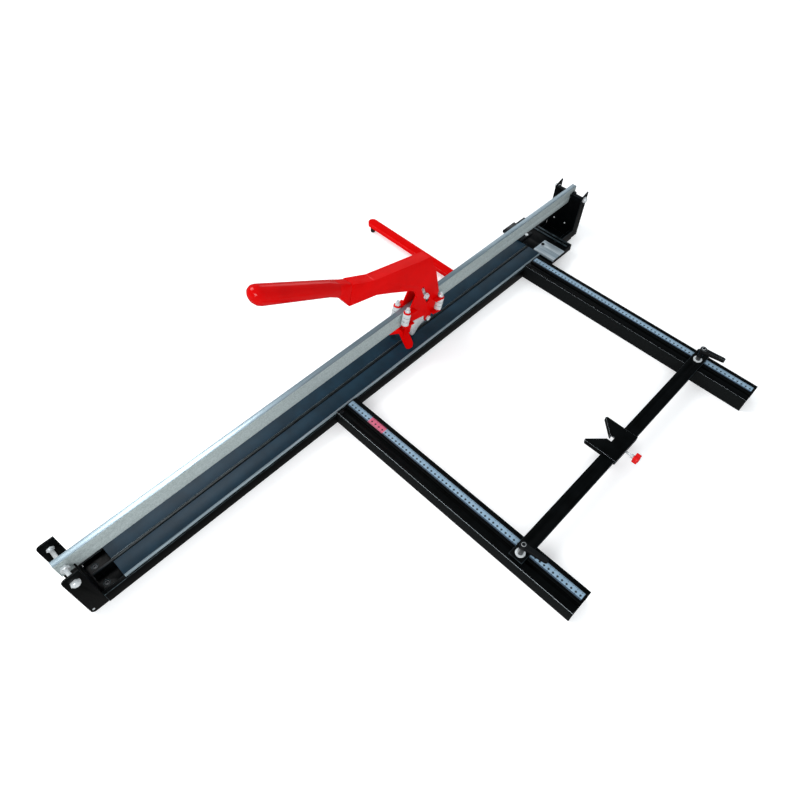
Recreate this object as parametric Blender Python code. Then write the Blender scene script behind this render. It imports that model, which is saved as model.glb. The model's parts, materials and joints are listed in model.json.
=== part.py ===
"""Manual tile cutter: a long padded bed, a steel guide rail, a rocking lever carriage with its
scoring wheel, two side arms with rulers, a sliding cross bar with an angle stop, and a fold-out
support arm. Metres, +Z up, +X along the rail, the side arms towards -Y, the floor at Z = 0."""

import math

import bmesh
import bpy
from mathutils import Vector

# Clearances
GAP = 0.0003  # between two pieces that touch
RUNNING = 0.0001  # radial, around a turning pin

# Stations along the rail
NEAR_BRACKET_DEPTH = 0.0325
FAR_BRACKET_DEPTH = 0.0275
END_PLATE_LENGTH = 0.045
BED_LENGTH = 1.231
FOOT_LENGTH = 0.089  # from the bed's end to the foot's far face
TAIL_LENGTH = 0.063
WALL_SPAN = END_PLATE_LENGTH + BED_LENGTH + FOOT_LENGTH + TAIL_LENGTH
NEAR_WALL = -WALL_SPAN / 2
BED_START = NEAR_WALL + END_PLATE_LENGTH
BED_END = BED_START + BED_LENGTH
TAIL_START = BED_END + FOOT_LENGTH
FAR_WALL = TAIL_START + TAIL_LENGTH

# Bed
BASE_HEIGHT = 0.038
BASE_HALF = 0.0445
SHEET = 0.003
PAD_THICKNESS = 0.002
PAD_MARGIN = 0.003
BOARD_THICKNESS = 0.006
BOARD_INNER = 0.0045
BOARD_OUTER = 0.0418
CHANNEL_LIP = 0.009
RIDGE_NECK = 0.005
RIDGE_SHOULDER = 0.020
RIDGE_RISE = 0.0005
RIDGE_END_MARGIN = 0.005
END_PLATE_TOP = 0.020
END_SCREW_Y = 0.021
END_SCREW_X = 0.0155  # from the near wall
END_SCREW_HEAD = 0.0058

# Rail and its end brackets
RAIL_THICKNESS = 0.0124
RAIL_HEIGHT = 0.0395
RAIL_CLEARANCE = 0.0623  # free height over the pads
RAIL_END_SETBACK = 0.0045  # inside each bracket's outer end
NEAR_BRACKET_HALF = 0.0425
NEAR_BRACKET_TOP = 0.144
NEAR_CHEEK_ROUND = 0.009
NEAR_WALL_TOP = 0.112
FAR_BRACKET_HALF = 0.0420
FAR_BRACKET_TOP = 0.138
FAR_WALL_TOP = 0.132
FAR_WALL_DIP = 0.006
FAR_HORN = 0.010
FAR_CHEEK_ROUND = 0.002
STUD_RADIUS = 0.004
STUD_HEIGHT = 0.120
NUT_RADIUS = 0.0085
NUT_LENGTH = 0.0065
DOME_LENGTH = 0.005

# Far end
FOOT_HALF = 0.080
FOOT_SETBACK = 0.003
FOOT_SKIRT = 0.018  # height of the foot's sides
CLAMP_PLATE_LENGTH = 0.049
CLAMP_PLATE_INNER = 0.021
CLAMP_PLATE_OUTER = 0.084
CLAMP_PLATE_LIP = 0.004
CLAMP_PLATE_BEND = 0.002
CLAMP_SCREW_X = 0.031
CLAMP_SCREW_Y = 0.027
SCREW_RADIUS = 0.0025
SCREW_HEAD = 0.0045
SCREW_CROWN = 0.7  # a round head's flat top, as a share of its radius

# Side arms and rulers
ARM_WIDTH = 0.0558
ARM_LENGTH = 0.6102
ARM_SPACING = 0.6556
ARM_RULER_INSET = 0.038  # from the arm's near-end edge to the middle of its ruler
ARM_DECK = 0.012
NEAR_RULER_X = -0.123
RULER_WIDTH = 0.016
RULER_THICKNESS = 0.0007
RULER_START = 0.0015
RULER_END_MARGIN = 0.005
SLOT_OFFSET = 0.018  # from the ruler's middle to the slot's
SLOT_MOUTH = 0.0088
SLOT_WIDTH = 0.0170
SLOT_ROOF = 0.003
SLOT_DEPTH = 0.0100
ARM_SCREW_X = 0.028
ARM_SCREW_Y = 0.0075

# Cross bar and its clamps
BAR_Y = -0.5205
BAR_WIDTH = 0.030
BAR_THICKNESS = 0.010
BAR_OVERHANG_NEAR = 0.033
BAR_OVERHANG_FAR = 0.0194
BAR_CORNER = 0.006
CLAMP_STUD_RADIUS = 0.0035
WASHER_RADIUS = 0.0098
WASHER_THICKNESS = 0.002
HUB_RADIUS = 0.0070
HUB_HEIGHT = 0.035
HUB_FOOT = 0.0056  # the hub's lower radius
BLADE_DEPTH = 0.0098
CLAMP_LEVER_REACH = 0.050
CLAMP_LEVER_TURN = math.radians(8)

# Angle stop
STOP_X = 0.189
STOP_HALF = 0.0415
STOP_REACH = 0.0435  # from the bar's edge to the horn tips
STOP_BACK = 0.003
STOP_TOP = 0.003
STOP_SHEET = 0.002
STOP_DROP = 0.0015  # its underside over the arms' tops
NOTCH_HALF = 0.0063
NOTCH_SETBACK = 0.0008  # from the bar's edge to the notch's end
HORN_FLAT = 0.003
KNOB_RADIUS = 0.0125
KNOB_LOBE = 0.006
KNOB_TURN = math.radians(17)
KNOB_LENGTH = 0.012
KNOB_STANDOFF = 0.018
KNOB_NECK = 0.006  # the collar between the knob and the stop
KNOB_NECK_RADIUS = 0.0045

# Fold-out support arm
SUPPORT_X = 0.343
SUPPORT_WIDTH = 0.0245
SUPPORT_HEIGHT = 0.012
SUPPORT_FOOT = 0.021
SUPPORT_FOOT_RADIUS = 0.0065
SUPPORT_PIVOT = 0.0155  # from the base's side to the pivot
SUPPORT_LENGTH = 0.315  # from the pivot to the tip
LUG_THICKNESS = 0.004

# Lever carriage, drawn level and then tilted about its pivot
CARRIAGE_X = 0.143
CARRIAGE_TILT = math.radians(14)
TOP_ROLLER_RADIUS = 0.011
ROLLER_RADIUS = 0.009
ROLLER_HEIGHT = 0.030
ROLLER_SPREAD = 0.057  # from the pivot to each pair of side rollers, along the rail
ROLLER_DROP = 0.0395  # from the pivot down to the side rollers' middle
ROLLER_GROOVE = 0.0004
AXLE_RADIUS = 0.004
BOLT_HEAD = 0.0065
BOLT_HEAD_LENGTH = 0.0045
BOLT_TAIL = 0.007  # round end that stands out of a roller bolt's nut
BOLT_FOOT = 0.0032  # the roller bolts' low heads
WASHER_THIN = 0.0015
WASHER_WIDE = 0.0075
PLATE_OUTER = 0.013
PLATE_THICKNESS = 0.003
PLATE_HALF = 0.046
PLATE_BOTTOM = -0.0608
EAR_THICKNESS = 0.003
EAR_INSET = 0.0005  # an ear is this much narrower than its roller, on each side
WEB_TOP = 0.1035
WEB_FRONT = -0.0176
WEB_BEND = -0.1861
CHANNEL_END = -0.2468
CHANNEL_TOP = 0.1155
SLOT_TILT = math.radians(34.5)
DEPTH_SLOT_UP = 0.029
DEPTH_SLOT_DOWN = 0.0235
DEPTH_SLOT_HALF = 0.0045
TOP_ROLLER_WIDTH = 0.018

# Grip
GRIP_RADIUS = 0.0168
GRIP_TIP_RADIUS = 0.0192
GRIP_TIP = -0.475
GRIP_SLOPE = 0.281
GRIP_START = -0.300
GRIP_START_HEIGHT = 0.1183

# Scoring wheel, its holder and the breaking foot
WHEEL_RADIUS = 0.010
WHEEL_THICKNESS = 0.0022
WHEEL_U = -0.003
WHEEL_CLEARANCE = 0.0003  # over the ridge, at rest
WHEEL_PIN = 0.002
PIN_HEAD = 0.001
HOLDER_HALF = 0.0092
FORK_HALF = 0.0075
FORK_BOSS = 0.0085
FORK_SHOULDER = -0.095  # where the fork narrows to its boss, under the pivot
FORK_FRONT = 0.012
FORK_BACK = -0.018
FORK_TOP = -0.072
HOLDER_TOP_GAP = 0.0025  # under the side plates
HOLDER_NOSE = 0.0095  # from the bolt forwards
HOLDER_BACK = 0.012
HOLDER_DROP = 0.0085
HOLDER_BOLT_U = 0.0302
HOLDER_BOLT_W = -0.0729
HOLDER_LUG = -0.078
FOOT_LUG = -0.0915
FOOT_U = -0.037
FOOT_WIDTH = 0.022
FOOT_SPAN = 0.0335
FOOT_BLADE = 0.004
FOOT_STEM_TOP = -0.084
FOOT_APEX = -0.0935
FOOT_TIP_ROUND = 0.009
FOOT_REST_CLEARANCE = 0.0030  # over the pads

RED = (0.72, 0.005, 0.005)
BLACK = (0.012, 0.014, 0.016)
NAVY = (0.022, 0.050, 0.090)
STEEL = (0.55, 0.60, 0.62)
ZINC = (0.78, 0.80, 0.80)
ALUMINIUM = (0.62, 0.68, 0.70)
TAPE = (0.50, 0.66, 0.78)
RUBBER = (0.02, 0.02, 0.02)


def clear_scene():
    for obj in list(bpy.data.objects):
        bpy.data.objects.remove(obj, do_unlink=True)


def material(name, colour, roughness, metallic):
    made = bpy.data.materials.new(name)
    made.use_nodes = True
    shader = made.node_tree.nodes["Principled BSDF"]
    shader.inputs["Base Color"].default_value = (*colour, 1.0)
    shader.inputs["Roughness"].default_value = roughness
    shader.inputs["Metallic"].default_value = metallic
    return made


def finish(name, bm, look, at=(0, 0, 0), parent=None, helper=False):
    """Makes an object of the mesh, which is drawn around its origin, and places it at `at`."""
    bmesh.ops.recalc_face_normals(bm, faces=bm.faces)
    mesh = bpy.data.meshes.new(name)
    bm.to_mesh(mesh)
    bm.free()
    obj = bpy.data.objects.new(name, mesh)
    bpy.context.scene.collection.objects.link(obj)
    obj.location = at
    obj.parent = parent
    if helper:
        obj.hide_render = True
        obj.display_type = "WIRE"
    else:
        mesh.materials.append(material(name, *look))
        mesh.shade_smooth()
        mesh.set_sharp_from_angle(angle=math.radians(35))
    return obj


def place(axis, across, up, along):
    """A point from its place across, up and along an extrusion in the direction of `axis`."""
    if axis == "x":
        return Vector((along, across, up))
    if axis == "y":
        return Vector((across, along, up))
    return Vector((across, up, along))


def extrude_into(bm, outline, axis, low, high):
    ends = [[bm.verts.new(place(axis, a, b, where)) for a, b in outline] for where in (low, high)]
    count = len(outline)
    bm.faces.new(ends[0])
    bm.faces.new(reversed(ends[1]))
    for i in range(count):
        j = (i + 1) % count
        bm.faces.new((ends[0][j], ends[0][i], ends[1][i], ends[1][j]))


def prism(name, look, outline, axis, low, high, **options):
    bm = bmesh.new()
    extrude_into(bm, outline, axis, low, high)
    return finish(name, bm, look, **options)


def inset(outline, distance):
    """The outline moved inwards by a distance, each corner along its mitre."""
    area = sum(a[0] * b[1] - b[0] * a[1] for a, b in zip(outline, outline[1:] + outline[:1]))
    turn = 1 if area > 0 else -1
    moved = []
    for i, corner in enumerate(outline):
        before, here, after = Vector(outline[i - 1]), Vector(corner), Vector(outline[(i + 1) % len(outline)])
        first, second = (here - before).normalized(), (after - here).normalized()
        normals = [Vector((-d.y, d.x)) * turn for d in (first, second)]
        mitre = (normals[0] + normals[1]).normalized()
        moved.append(tuple(here + mitre * distance / mitre.dot(normals[0])))
    return moved


def rectangle(left, right, bottom, top):
    return [(left, bottom), (right, bottom), (right, top), (left, top)]


def box(name, look, low, high, **options):
    return prism(name, look, rectangle(low[0], high[0], low[1], high[1]), "z", low[2], high[2], **options)


def arc(centre, radius, start, end, steps):
    """Points on an arc, from one angle to the other, in degrees."""
    angles = [math.radians(start + (end - start) * i / steps) for i in range(steps + 1)]
    return [(centre[0] + radius * math.cos(a), centre[1] + radius * math.sin(a)) for a in angles]


def ring_points(axis, along, radius, shape, segments):
    """A ring of points around an axis: round, or hexagonal with the corners at `radius`."""
    points = []
    for i in range(segments):
        angle = 2 * math.pi * i / segments
        reach = radius
        if shape == "hex":
            reach *= math.cos(math.pi / 6) / math.cos(angle % (math.pi / 3) - math.pi / 6)
        points.append(place(axis, reach * math.cos(angle), reach * math.sin(angle), along))
    return points


def spindle_into(bm, axis, rings, bore=None, segments=24):
    """A turned piece: each ring is (place along the axis, radius, "round" or "hex"). A bore is a
    radius, and goes right through."""
    loops = [[bm.verts.new(p) for p in ring_points(axis, *ring, segments)] for ring in rings]
    if bore:
        for along in (rings[-1][0], rings[0][0]):
            ring = ring_points(axis, along, bore, "round", segments)
            loops.append([bm.verts.new(p) for p in ring])
        loops.append(loops[0])
    for low, high in zip(loops, loops[1:]):
        for i in range(segments):
            j = (i + 1) % segments
            bm.faces.new((low[i], low[j], high[j], high[i]))
    if not bore:
        bm.faces.new(loops[0])
        bm.faces.new(loops[-1])


def spindle(name, look, axis, rings, bore=None, segments=24, **options):
    bm = bmesh.new()
    spindle_into(bm, axis, rings, bore, segments)
    return finish(name, bm, look, **options)


def helper_rod(name, axis, low, high, radius, segments=24, **options):
    rings = [(low, radius, "round"), (high, radius, "round")]
    return spindle(name, None, axis, rings, segments=segments, helper=True, **options)


def combine(obj, other, operation):
    step = obj.modifiers.new(other.name, "BOOLEAN")
    step.operation = operation
    step.solver = "EXACT"
    step.object = other


def pivot_empty(name, at, turn=(0, 0, 0)):
    empty = bpy.data.objects.new(name, None)
    bpy.context.scene.collection.objects.link(empty)
    empty.location = at
    empty.rotation_euler = turn
    return empty


# ---------------------------------------------------------------- bed


def channel_top():
    return BASE_HEIGHT - PAD_THICKNESS - BOARD_THICKNESS - 2 * GAP


def base_channel():
    """A lipped steel channel, open upwards, that everything stands on."""
    top = channel_top()
    inner = BASE_HALF - SHEET
    right = [
        (BASE_HALF, 0),
        (BASE_HALF, top),
        (BASE_HALF - CHANNEL_LIP, top),
        (BASE_HALF - CHANNEL_LIP, top - SHEET),
        (inner, top - SHEET),
        (inner, SHEET),
    ]
    left = [(-y, z) for y, z in reversed(right)]
    outline = right + left
    low, high = NEAR_WALL + GAP, FAR_WALL - GAP
    return prism("base_channel", (BLACK, 0.45, 0.0), outline, "x", low, high)


def breaking_ridge():
    """The steel bar under the cutting line, with shoulders that carry the boards."""
    shoulder_top = channel_top()
    crown = BASE_HEIGHT + RIDGE_RISE
    half, neck = RIDGE_SHOULDER / 2, RIDGE_NECK / 2
    crown_half = neck / 2
    right = [
        (half, SHEET + GAP),
        (half, shoulder_top),
        (neck, shoulder_top),
        (neck, crown - crown_half),
        (crown_half, crown),
    ]
    outline = right + [(-y, z) for y, z in reversed(right)]
    low, high = NEAR_WALL + RIDGE_END_MARGIN, BED_END - GAP
    ridge = prism("breaking_ridge", (STEEL, 0.4, 0.9), outline, "x", low, high)
    bm = bmesh.new()
    for side in (-1, 1):
        across = sorted((side * neck, side * 2 * half))
        extrude_into(bm, rectangle(*across, -SHEET, 2 * shoulder_top), "x", low - SHEET, BED_START)
    combine(ridge, finish("shoulder_cut", bm, None, helper=True), "DIFFERENCE")


def bed_boards_and_pads():
    """On each side of the ridge, an aluminium board with a rubber pad on it."""
    board_top = BASE_HEIGHT - PAD_THICKNESS - GAP
    board_low = board_top - BOARD_THICKNESS
    low, high = BED_START, BED_END - GAP
    for side, word in ((-1, "near"), (1, "far")):
        spans = sorted((side * BOARD_INNER, side * BOARD_OUTER))
        box(
            f"{word}_board", (ALUMINIUM, 0.35, 0.9), (low, spans[0], board_low), (high, spans[1], board_top)
        )
        spans = sorted((side * BOARD_INNER, side * (BOARD_OUTER - PAD_MARGIN)))
        box(
            f"{word}_pad", (NAVY, 0.6, 0.0), (low, spans[0], board_top + GAP), (high, spans[1], BASE_HEIGHT)
        )


def end_plate():
    """The plate around the ridge's end, sunk between the channel's walls, and its two screws."""
    half = BASE_HALF - CHANNEL_LIP - GAP
    slot = RIDGE_NECK / 2 + GAP
    low, high = NEAR_WALL + GAP, BED_START - GAP
    inside = NEAR_WALL + RIDGE_END_MARGIN - GAP
    right = [(low, half), (high, half), (high, slot), (inside, slot)]
    outline = right + [(x, -y) for x, y in reversed(right)]
    bottom = SHEET + GAP
    plate = prism("end_plate", (BLACK, 0.4, 0.0), outline, "z", bottom, END_PLATE_TOP)
    middle = NEAR_WALL + END_SCREW_X
    depth = END_SCREW_HEAD - SCREW_RADIUS
    for side, word in ((-1, "near"), (1, "far")):
        at = (middle, side * END_SCREW_Y, END_PLATE_TOP)
        socket = [
            (-END_PLATE_TOP / 2, SCREW_RADIUS + GAP, "round"),
            (-depth, SCREW_RADIUS + GAP, "round"),
            (0, END_SCREW_HEAD + GAP, "round"),
            (GAP, END_SCREW_HEAD + GAP, "round"),
        ]
        combine(plate, spindle(f"{word}_end_socket", None, "z", socket, at=at, helper=True), "DIFFERENCE")
        screw = [
            (-END_PLATE_TOP / 2 + GAP, SCREW_RADIUS, "round"),
            (-depth, SCREW_RADIUS, "round"),
            (-GAP, END_SCREW_HEAD, "round"),
        ]
        spindle(f"{word}_end_screw", (BLACK, 0.3, 0.8), "z", screw, at=at)


# ---------------------------------------------------------------- rail and end brackets


def rail():
    """A flat steel bar on edge, bored at each end for its cross stud."""
    bottom = BASE_HEIGHT + RAIL_CLEARANCE
    half = RAIL_THICKNESS / 2
    bar = box(
        "rail", (STEEL, 0.3, 1.0), (bracket_end(-1) + RAIL_END_SETBACK, -half, bottom),
        (bracket_end(1) - RAIL_END_SETBACK, half, bottom + RAIL_HEIGHT),
    )
    for side, word in ((-1, "near"), (1, "far")):
        bore = helper_rod(
            f"rail_{word}_bore", "y", -RAIL_THICKNESS, RAIL_THICKNESS, STUD_RADIUS + GAP,
            at=(stud_x(side), 0, STUD_HEIGHT),
        )
        combine(bar, bore, "DIFFERENCE")


def bracket_end(side):
    """The outer end of a bracket's cheeks: side is -1 at the near end, 1 at the far end."""
    return NEAR_WALL - NEAR_BRACKET_DEPTH if side < 0 else FAR_WALL + FAR_BRACKET_DEPTH


def stud_x(side):
    """The middle of a bracket's cheeks."""
    wall = NEAR_WALL if side < 0 else FAR_WALL
    return (wall + bracket_end(side)) / 2


def end_bracket(side, word, half, top, wall_top, dip, horn, round_off):
    """A folded steel bracket: a wall across the base's end, notched for the rail, and a cheek on
    each side that reaches outwards. The wall's top edge dips towards the rail, and the cheeks'
    rise outwards by `horn`. Their outer corners are rounded."""
    end = bracket_end(side)
    wall = NEAR_WALL if side < 0 else FAR_WALL
    depth = abs(end - wall)
    inner = half - SHEET
    right = [(wall, half), (end, half), (end, inner), (wall + side * SHEET, inner)]
    outline = right + [(x, -y) for x, y in reversed(right)]
    bracket = prism(f"{word}_bracket", (BLACK, 0.35, 0.0), outline, "z", 0, top)
    spans = sorted((wall - side * SHEET, wall + side * 2 * SHEET))
    notch = RAIL_THICKNESS / 2 + GAP
    rail_low = BASE_HEIGHT + RAIL_CLEARANCE - GAP
    left = [(-inner, 2 * top), (-inner, wall_top), (-notch, wall_top - dip), (-notch, rail_low)]
    cut = left + [(-y, z) for y, z in reversed(left)]
    combine(bracket, prism(f"{word}_rail_notch", None, cut, "x", *spans, helper=True), "DIFFERENCE")
    middle = depth - round_off
    reach = [(-SHEET, top - horn - SHEET * horn / depth), (-SHEET, -SHEET), (middle, -SHEET)]
    reach += arc((middle, round_off), round_off, -90, 0, 6)
    reach += arc((middle, top - round_off), round_off, 0, 90, 6)
    if not horn:
        reach = [(-SHEET, top + SHEET)] + reach[1:] + [(middle, top + SHEET)]
    profile = [(wall + side * d, z) for d, z in reach]
    keep = prism(f"{word}_cheek_profile", None, profile, "y", -2 * half, 2 * half, helper=True)
    combine(bracket, keep, "INTERSECT")
    bore = helper_rod(
        f"{word}_cheek_bore", "y", -2 * half, 2 * half, STUD_RADIUS + GAP, at=(stud_x(side), 0, STUD_HEIGHT)
    )
    combine(bracket, bore, "DIFFERENCE")


def cross_stud(side, word, half):
    """The stud through cheeks and rail, with a lock nut on each side of the rail and a domed nut
    outside each cheek."""
    at = (stud_x(side), 0, STUD_HEIGHT)
    lock = RAIL_THICKNESS / 2 + GAP
    outside = half + GAP
    one_side = [
        (lock, STUD_RADIUS, "round"),
        (lock, NUT_RADIUS, "hex"),
        (lock + NUT_LENGTH, NUT_RADIUS, "hex"),
        (lock + NUT_LENGTH, STUD_RADIUS, "round"),
        (outside + NUT_LENGTH - 2 * GAP, STUD_RADIUS, "round"),
    ]
    rings = [(-a, r, kind) for a, r, kind in reversed(one_side)] + one_side
    spindle(f"{word}_stud", (ZINC, 0.25, 1.0), "y", rings, at=at)
    crown = outside + NUT_LENGTH
    cap = [
        (crown, STUD_RADIUS + GAP, "round"),
        (outside, STUD_RADIUS + GAP, "round"),
        (outside, NUT_RADIUS, "hex"),
        (crown, NUT_RADIUS, "hex"),
        (crown, NUT_RADIUS * 0.84, "round"),
        (crown + DOME_LENGTH * 0.6, NUT_RADIUS * 0.66, "round"),
        (crown + DOME_LENGTH, NUT_RADIUS * 0.25, "round"),
    ]
    for y_side, y_word in ((-1, "front"), (1, "back")):
        rings = [(y_side * a, r, kind) for a, r, kind in cap]
        spindle(f"{word}_{y_word}_cap_nut", (ZINC, 0.25, 1.0), "y", rings, at=at)


# ---------------------------------------------------------------- far end


def cross_foot():
    """The wide folded foot across the far end of the bed, open below, over the base channel."""
    top = BASE_HEIGHT - GAP
    low, high = BED_END + FOOT_SETBACK, TAIL_START
    bottom = top - FOOT_SKIRT
    foot = box("cross_foot", (BLACK, 0.4, 0.0), (low, -FOOT_HALF, bottom), (high, FOOT_HALF, top))
    inner = FOOT_HALF - SHEET
    hollow = box(
        "foot_hollow", None, (low + SHEET, -inner, -SHEET), (high - SHEET, inner, top - SHEET), helper=True
    )
    combine(foot, hollow, "DIFFERENCE")
    side = BASE_HALF + GAP
    tunnel = box(
        "foot_tunnel", None, (low - SHEET, -side, -SHEET), (high + SHEET, side, channel_top() + GAP),
        helper=True,
    )
    combine(foot, tunnel, "DIFFERENCE")
    for side, word in ((-1, "near"), (1, "far")):
        at = (BED_END + CLAMP_SCREW_X, side * CLAMP_SCREW_Y, 0)
        bore = helper_rod(f"foot_{word}_bore", "z", top - 2 * SHEET, top + SHEET, SCREW_RADIUS + GAP, at=at)
        combine(foot, bore, "DIFFERENCE")


def clamp_plates():
    """On each side, a plate that holds the board's end down, with a lip and one screw."""
    low, high = BED_END + GAP, BED_END + CLAMP_PLATE_LENGTH
    bottom = BASE_HEIGHT
    top = bottom + SHEET
    lip = low + CLAMP_PLATE_BEND
    outline = [
        (low, bottom - CLAMP_PLATE_LIP), (lip, bottom - CLAMP_PLATE_LIP), (lip, bottom),
        (high, bottom), (high, top), (low, top),
    ]
    for side, word in ((-1, "near"), (1, "far")):
        spans = sorted((side * CLAMP_PLATE_INNER, side * CLAMP_PLATE_OUTER))
        plate = prism(f"{word}_clamp_plate", (ZINC, 0.35, 1.0), outline, "y", *spans)
        at = (BED_END + CLAMP_SCREW_X, side * CLAMP_SCREW_Y, top)
        bore = helper_rod(f"{word}_plate_bore", "z", -2 * SHEET, SHEET, SCREW_RADIUS + GAP, at=at)
        combine(plate, bore, "DIFFERENCE")
        rings = [
            (-3 * SHEET, SCREW_RADIUS, "round"),
            (GAP, SCREW_RADIUS, "round"),
            (GAP, SCREW_HEAD, "round"),
            (SHEET * 0.6, SCREW_HEAD, "round"),
            (SHEET, SCREW_HEAD * SCREW_CROWN, "round"),
        ]
        spindle(f"{word}_clamp_screw", (BLACK, 0.3, 0.8), "z", rings, at=at)


# ---------------------------------------------------------------- side arms


def side_arm(index, word):
    """One arm: an extruded section with a recess for its ruler and a T-slot for the clamp stud,
    its ruler, and the screw at its root."""
    ruler_x = NEAR_RULER_X + index * ARM_SPACING
    left = ruler_x - ARM_RULER_INSET
    right = left + ARM_WIDTH
    top = BASE_HEIGHT
    recess = top - RULER_THICKNESS - GAP
    ruler_half = RULER_WIDTH / 2 + GAP
    slot_x = ruler_x - SLOT_OFFSET
    mouth, wide = SLOT_MOUTH / 2, SLOT_WIDTH / 2
    roof, floor = top - SLOT_ROOF, top - SLOT_DEPTH
    deck = top - ARM_DECK
    outline = [
        (left, 0), (left, top),
        (slot_x - mouth, top), (slot_x - mouth, roof), (slot_x - wide, roof), (slot_x - wide, floor),
        (slot_x + wide, floor), (slot_x + wide, roof), (slot_x + mouth, roof), (slot_x + mouth, top),
        (ruler_x - ruler_half, top), (ruler_x - ruler_half, recess),
        (ruler_x + ruler_half, recess), (ruler_x + ruler_half, top),
        (right, top), (right, 0), (right - SHEET, 0), (right - SHEET, deck),
        (left + SHEET, deck), (left + SHEET, 0),
    ]
    root = -BASE_HALF - GAP
    arm = prism(f"{word}_arm", (BLACK, 0.5, 0.2), outline, "y", root - ARM_LENGTH, root)
    box(
        f"{word}_ruler", (TAPE, 0.4, 0.3),
        (ruler_x - RULER_WIDTH / 2, root - ARM_LENGTH + RULER_END_MARGIN, top - RULER_THICKNESS),
        (ruler_x + RULER_WIDTH / 2, root - RULER_START, top),
    )
    at = (ruler_x - ARM_SCREW_X - SCREW_HEAD * 0.5, root - ARM_SCREW_Y, top)
    hole = helper_rod(f"{word}_arm_bore", "z", -1.5 * ARM_DECK, ARM_DECK, SCREW_RADIUS + GAP, at=at)
    combine(arm, hole, "DIFFERENCE")
    rings = [
        (-0.9 * ARM_DECK, SCREW_RADIUS, "round"),
        (GAP, SCREW_RADIUS, "round"),
        (GAP, SCREW_HEAD, "round"),
        (0.5 * SHEET, SCREW_HEAD, "round"),
        (0.8 * SHEET, SCREW_HEAD * SCREW_CROWN, "round"),
    ]
    spindle(f"{word}_arm_screw", (BLACK, 0.3, 0.8), "z", rings, at=at)


# ---------------------------------------------------------------- cross bar


def cross_bar():
    """The flat bar that slides on both arms, with one clamp over each arm's slot."""
    low = NEAR_RULER_X - BAR_OVERHANG_NEAR
    high = NEAR_RULER_X + ARM_SPACING + BAR_OVERHANG_FAR
    half, cut = BAR_WIDTH / 2, BAR_CORNER
    outline = [
        (low, BAR_Y - half), (high - cut, BAR_Y - half), (high, BAR_Y - half + cut),
        (high, BAR_Y + half - cut), (high - cut, BAR_Y + half), (low, BAR_Y + half),
    ]
    bottom = BASE_HEIGHT + GAP
    bar = prism("cross_bar", (BLACK, 0.45, 0.2), outline, "z", bottom, bottom + BAR_THICKNESS)
    for index, word in enumerate(("near", "far")):
        x = NEAR_RULER_X + index * ARM_SPACING - SLOT_OFFSET
        bore = helper_rod(
            f"bar_{word}_bore", "z", -BAR_THICKNESS, 2 * BAR_THICKNESS, CLAMP_STUD_RADIUS + GAP,
            at=(x, BAR_Y, bottom),
        )
        combine(bar, bore, "DIFFERENCE")
        clamp(word, x)


def clamp(word, x):
    """A stud whose head runs in the arm's slot, its washer, and a ratchet lever that turns on it."""
    washer = BASE_HEIGHT + BAR_THICKNESS + 2 * GAP
    seat = washer + WASHER_THICKNESS
    head_low = BASE_HEIGHT - SLOT_DEPTH + GAP
    head_high = BASE_HEIGHT - SLOT_ROOF - GAP
    hub_top = seat + GAP + HUB_HEIGHT
    rings = [
        (head_low, SLOT_WIDTH / 2 - 4 * GAP, "round"),
        (head_high, SLOT_WIDTH / 2 - 4 * GAP, "round"),
        (head_high, CLAMP_STUD_RADIUS, "round"),
        (washer, CLAMP_STUD_RADIUS, "round"),
        (washer, WASHER_RADIUS, "round"),
        (seat, WASHER_RADIUS, "round"),
        (seat, CLAMP_STUD_RADIUS, "round"),
        (hub_top - 2 * GAP, CLAMP_STUD_RADIUS, "round"),
    ]
    at = Vector((x, BAR_Y, 0))
    spindle(f"{word}_clamp_stud", (ZINC, 0.25, 1.0), "z", rings, at=at)
    bore = CLAMP_STUD_RADIUS + RUNNING
    blade_top = hub_top - SHEET / 2
    blade_low = blade_top - BLADE_DEPTH
    hub = [
        (seat + GAP, HUB_FOOT, "round"),
        (blade_low - SHEET, HUB_FOOT, "round"),
        (blade_low, HUB_RADIUS, "round"),
        (hub_top, HUB_RADIUS, "round"),
    ]
    lever = spindle(f"{word}_clamp_lever", (BLACK, 0.35, 0.1), "z", hub, bore=bore, at=at)
    lever.rotation_euler = (0, 0, CLAMP_LEVER_TURN)
    root, tip = HUB_RADIUS * 0.75, HUB_RADIUS * 0.5
    inside = bore + 2 * GAP
    outline = [
        (-root, -inside), (-tip, -CLAMP_LEVER_REACH + tip), (-tip / 2, -CLAMP_LEVER_REACH),
        (tip / 2, -CLAMP_LEVER_REACH), (tip, -CLAMP_LEVER_REACH + tip), (root, -inside),
    ]
    blade = prism(
        f"{word}_lever_blade", None, outline, "z", blade_low, blade_top, helper=True, at=at,
    )
    blade.rotation_euler = lever.rotation_euler
    combine(lever, blade, "UNION")


# ---------------------------------------------------------------- angle stop


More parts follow.
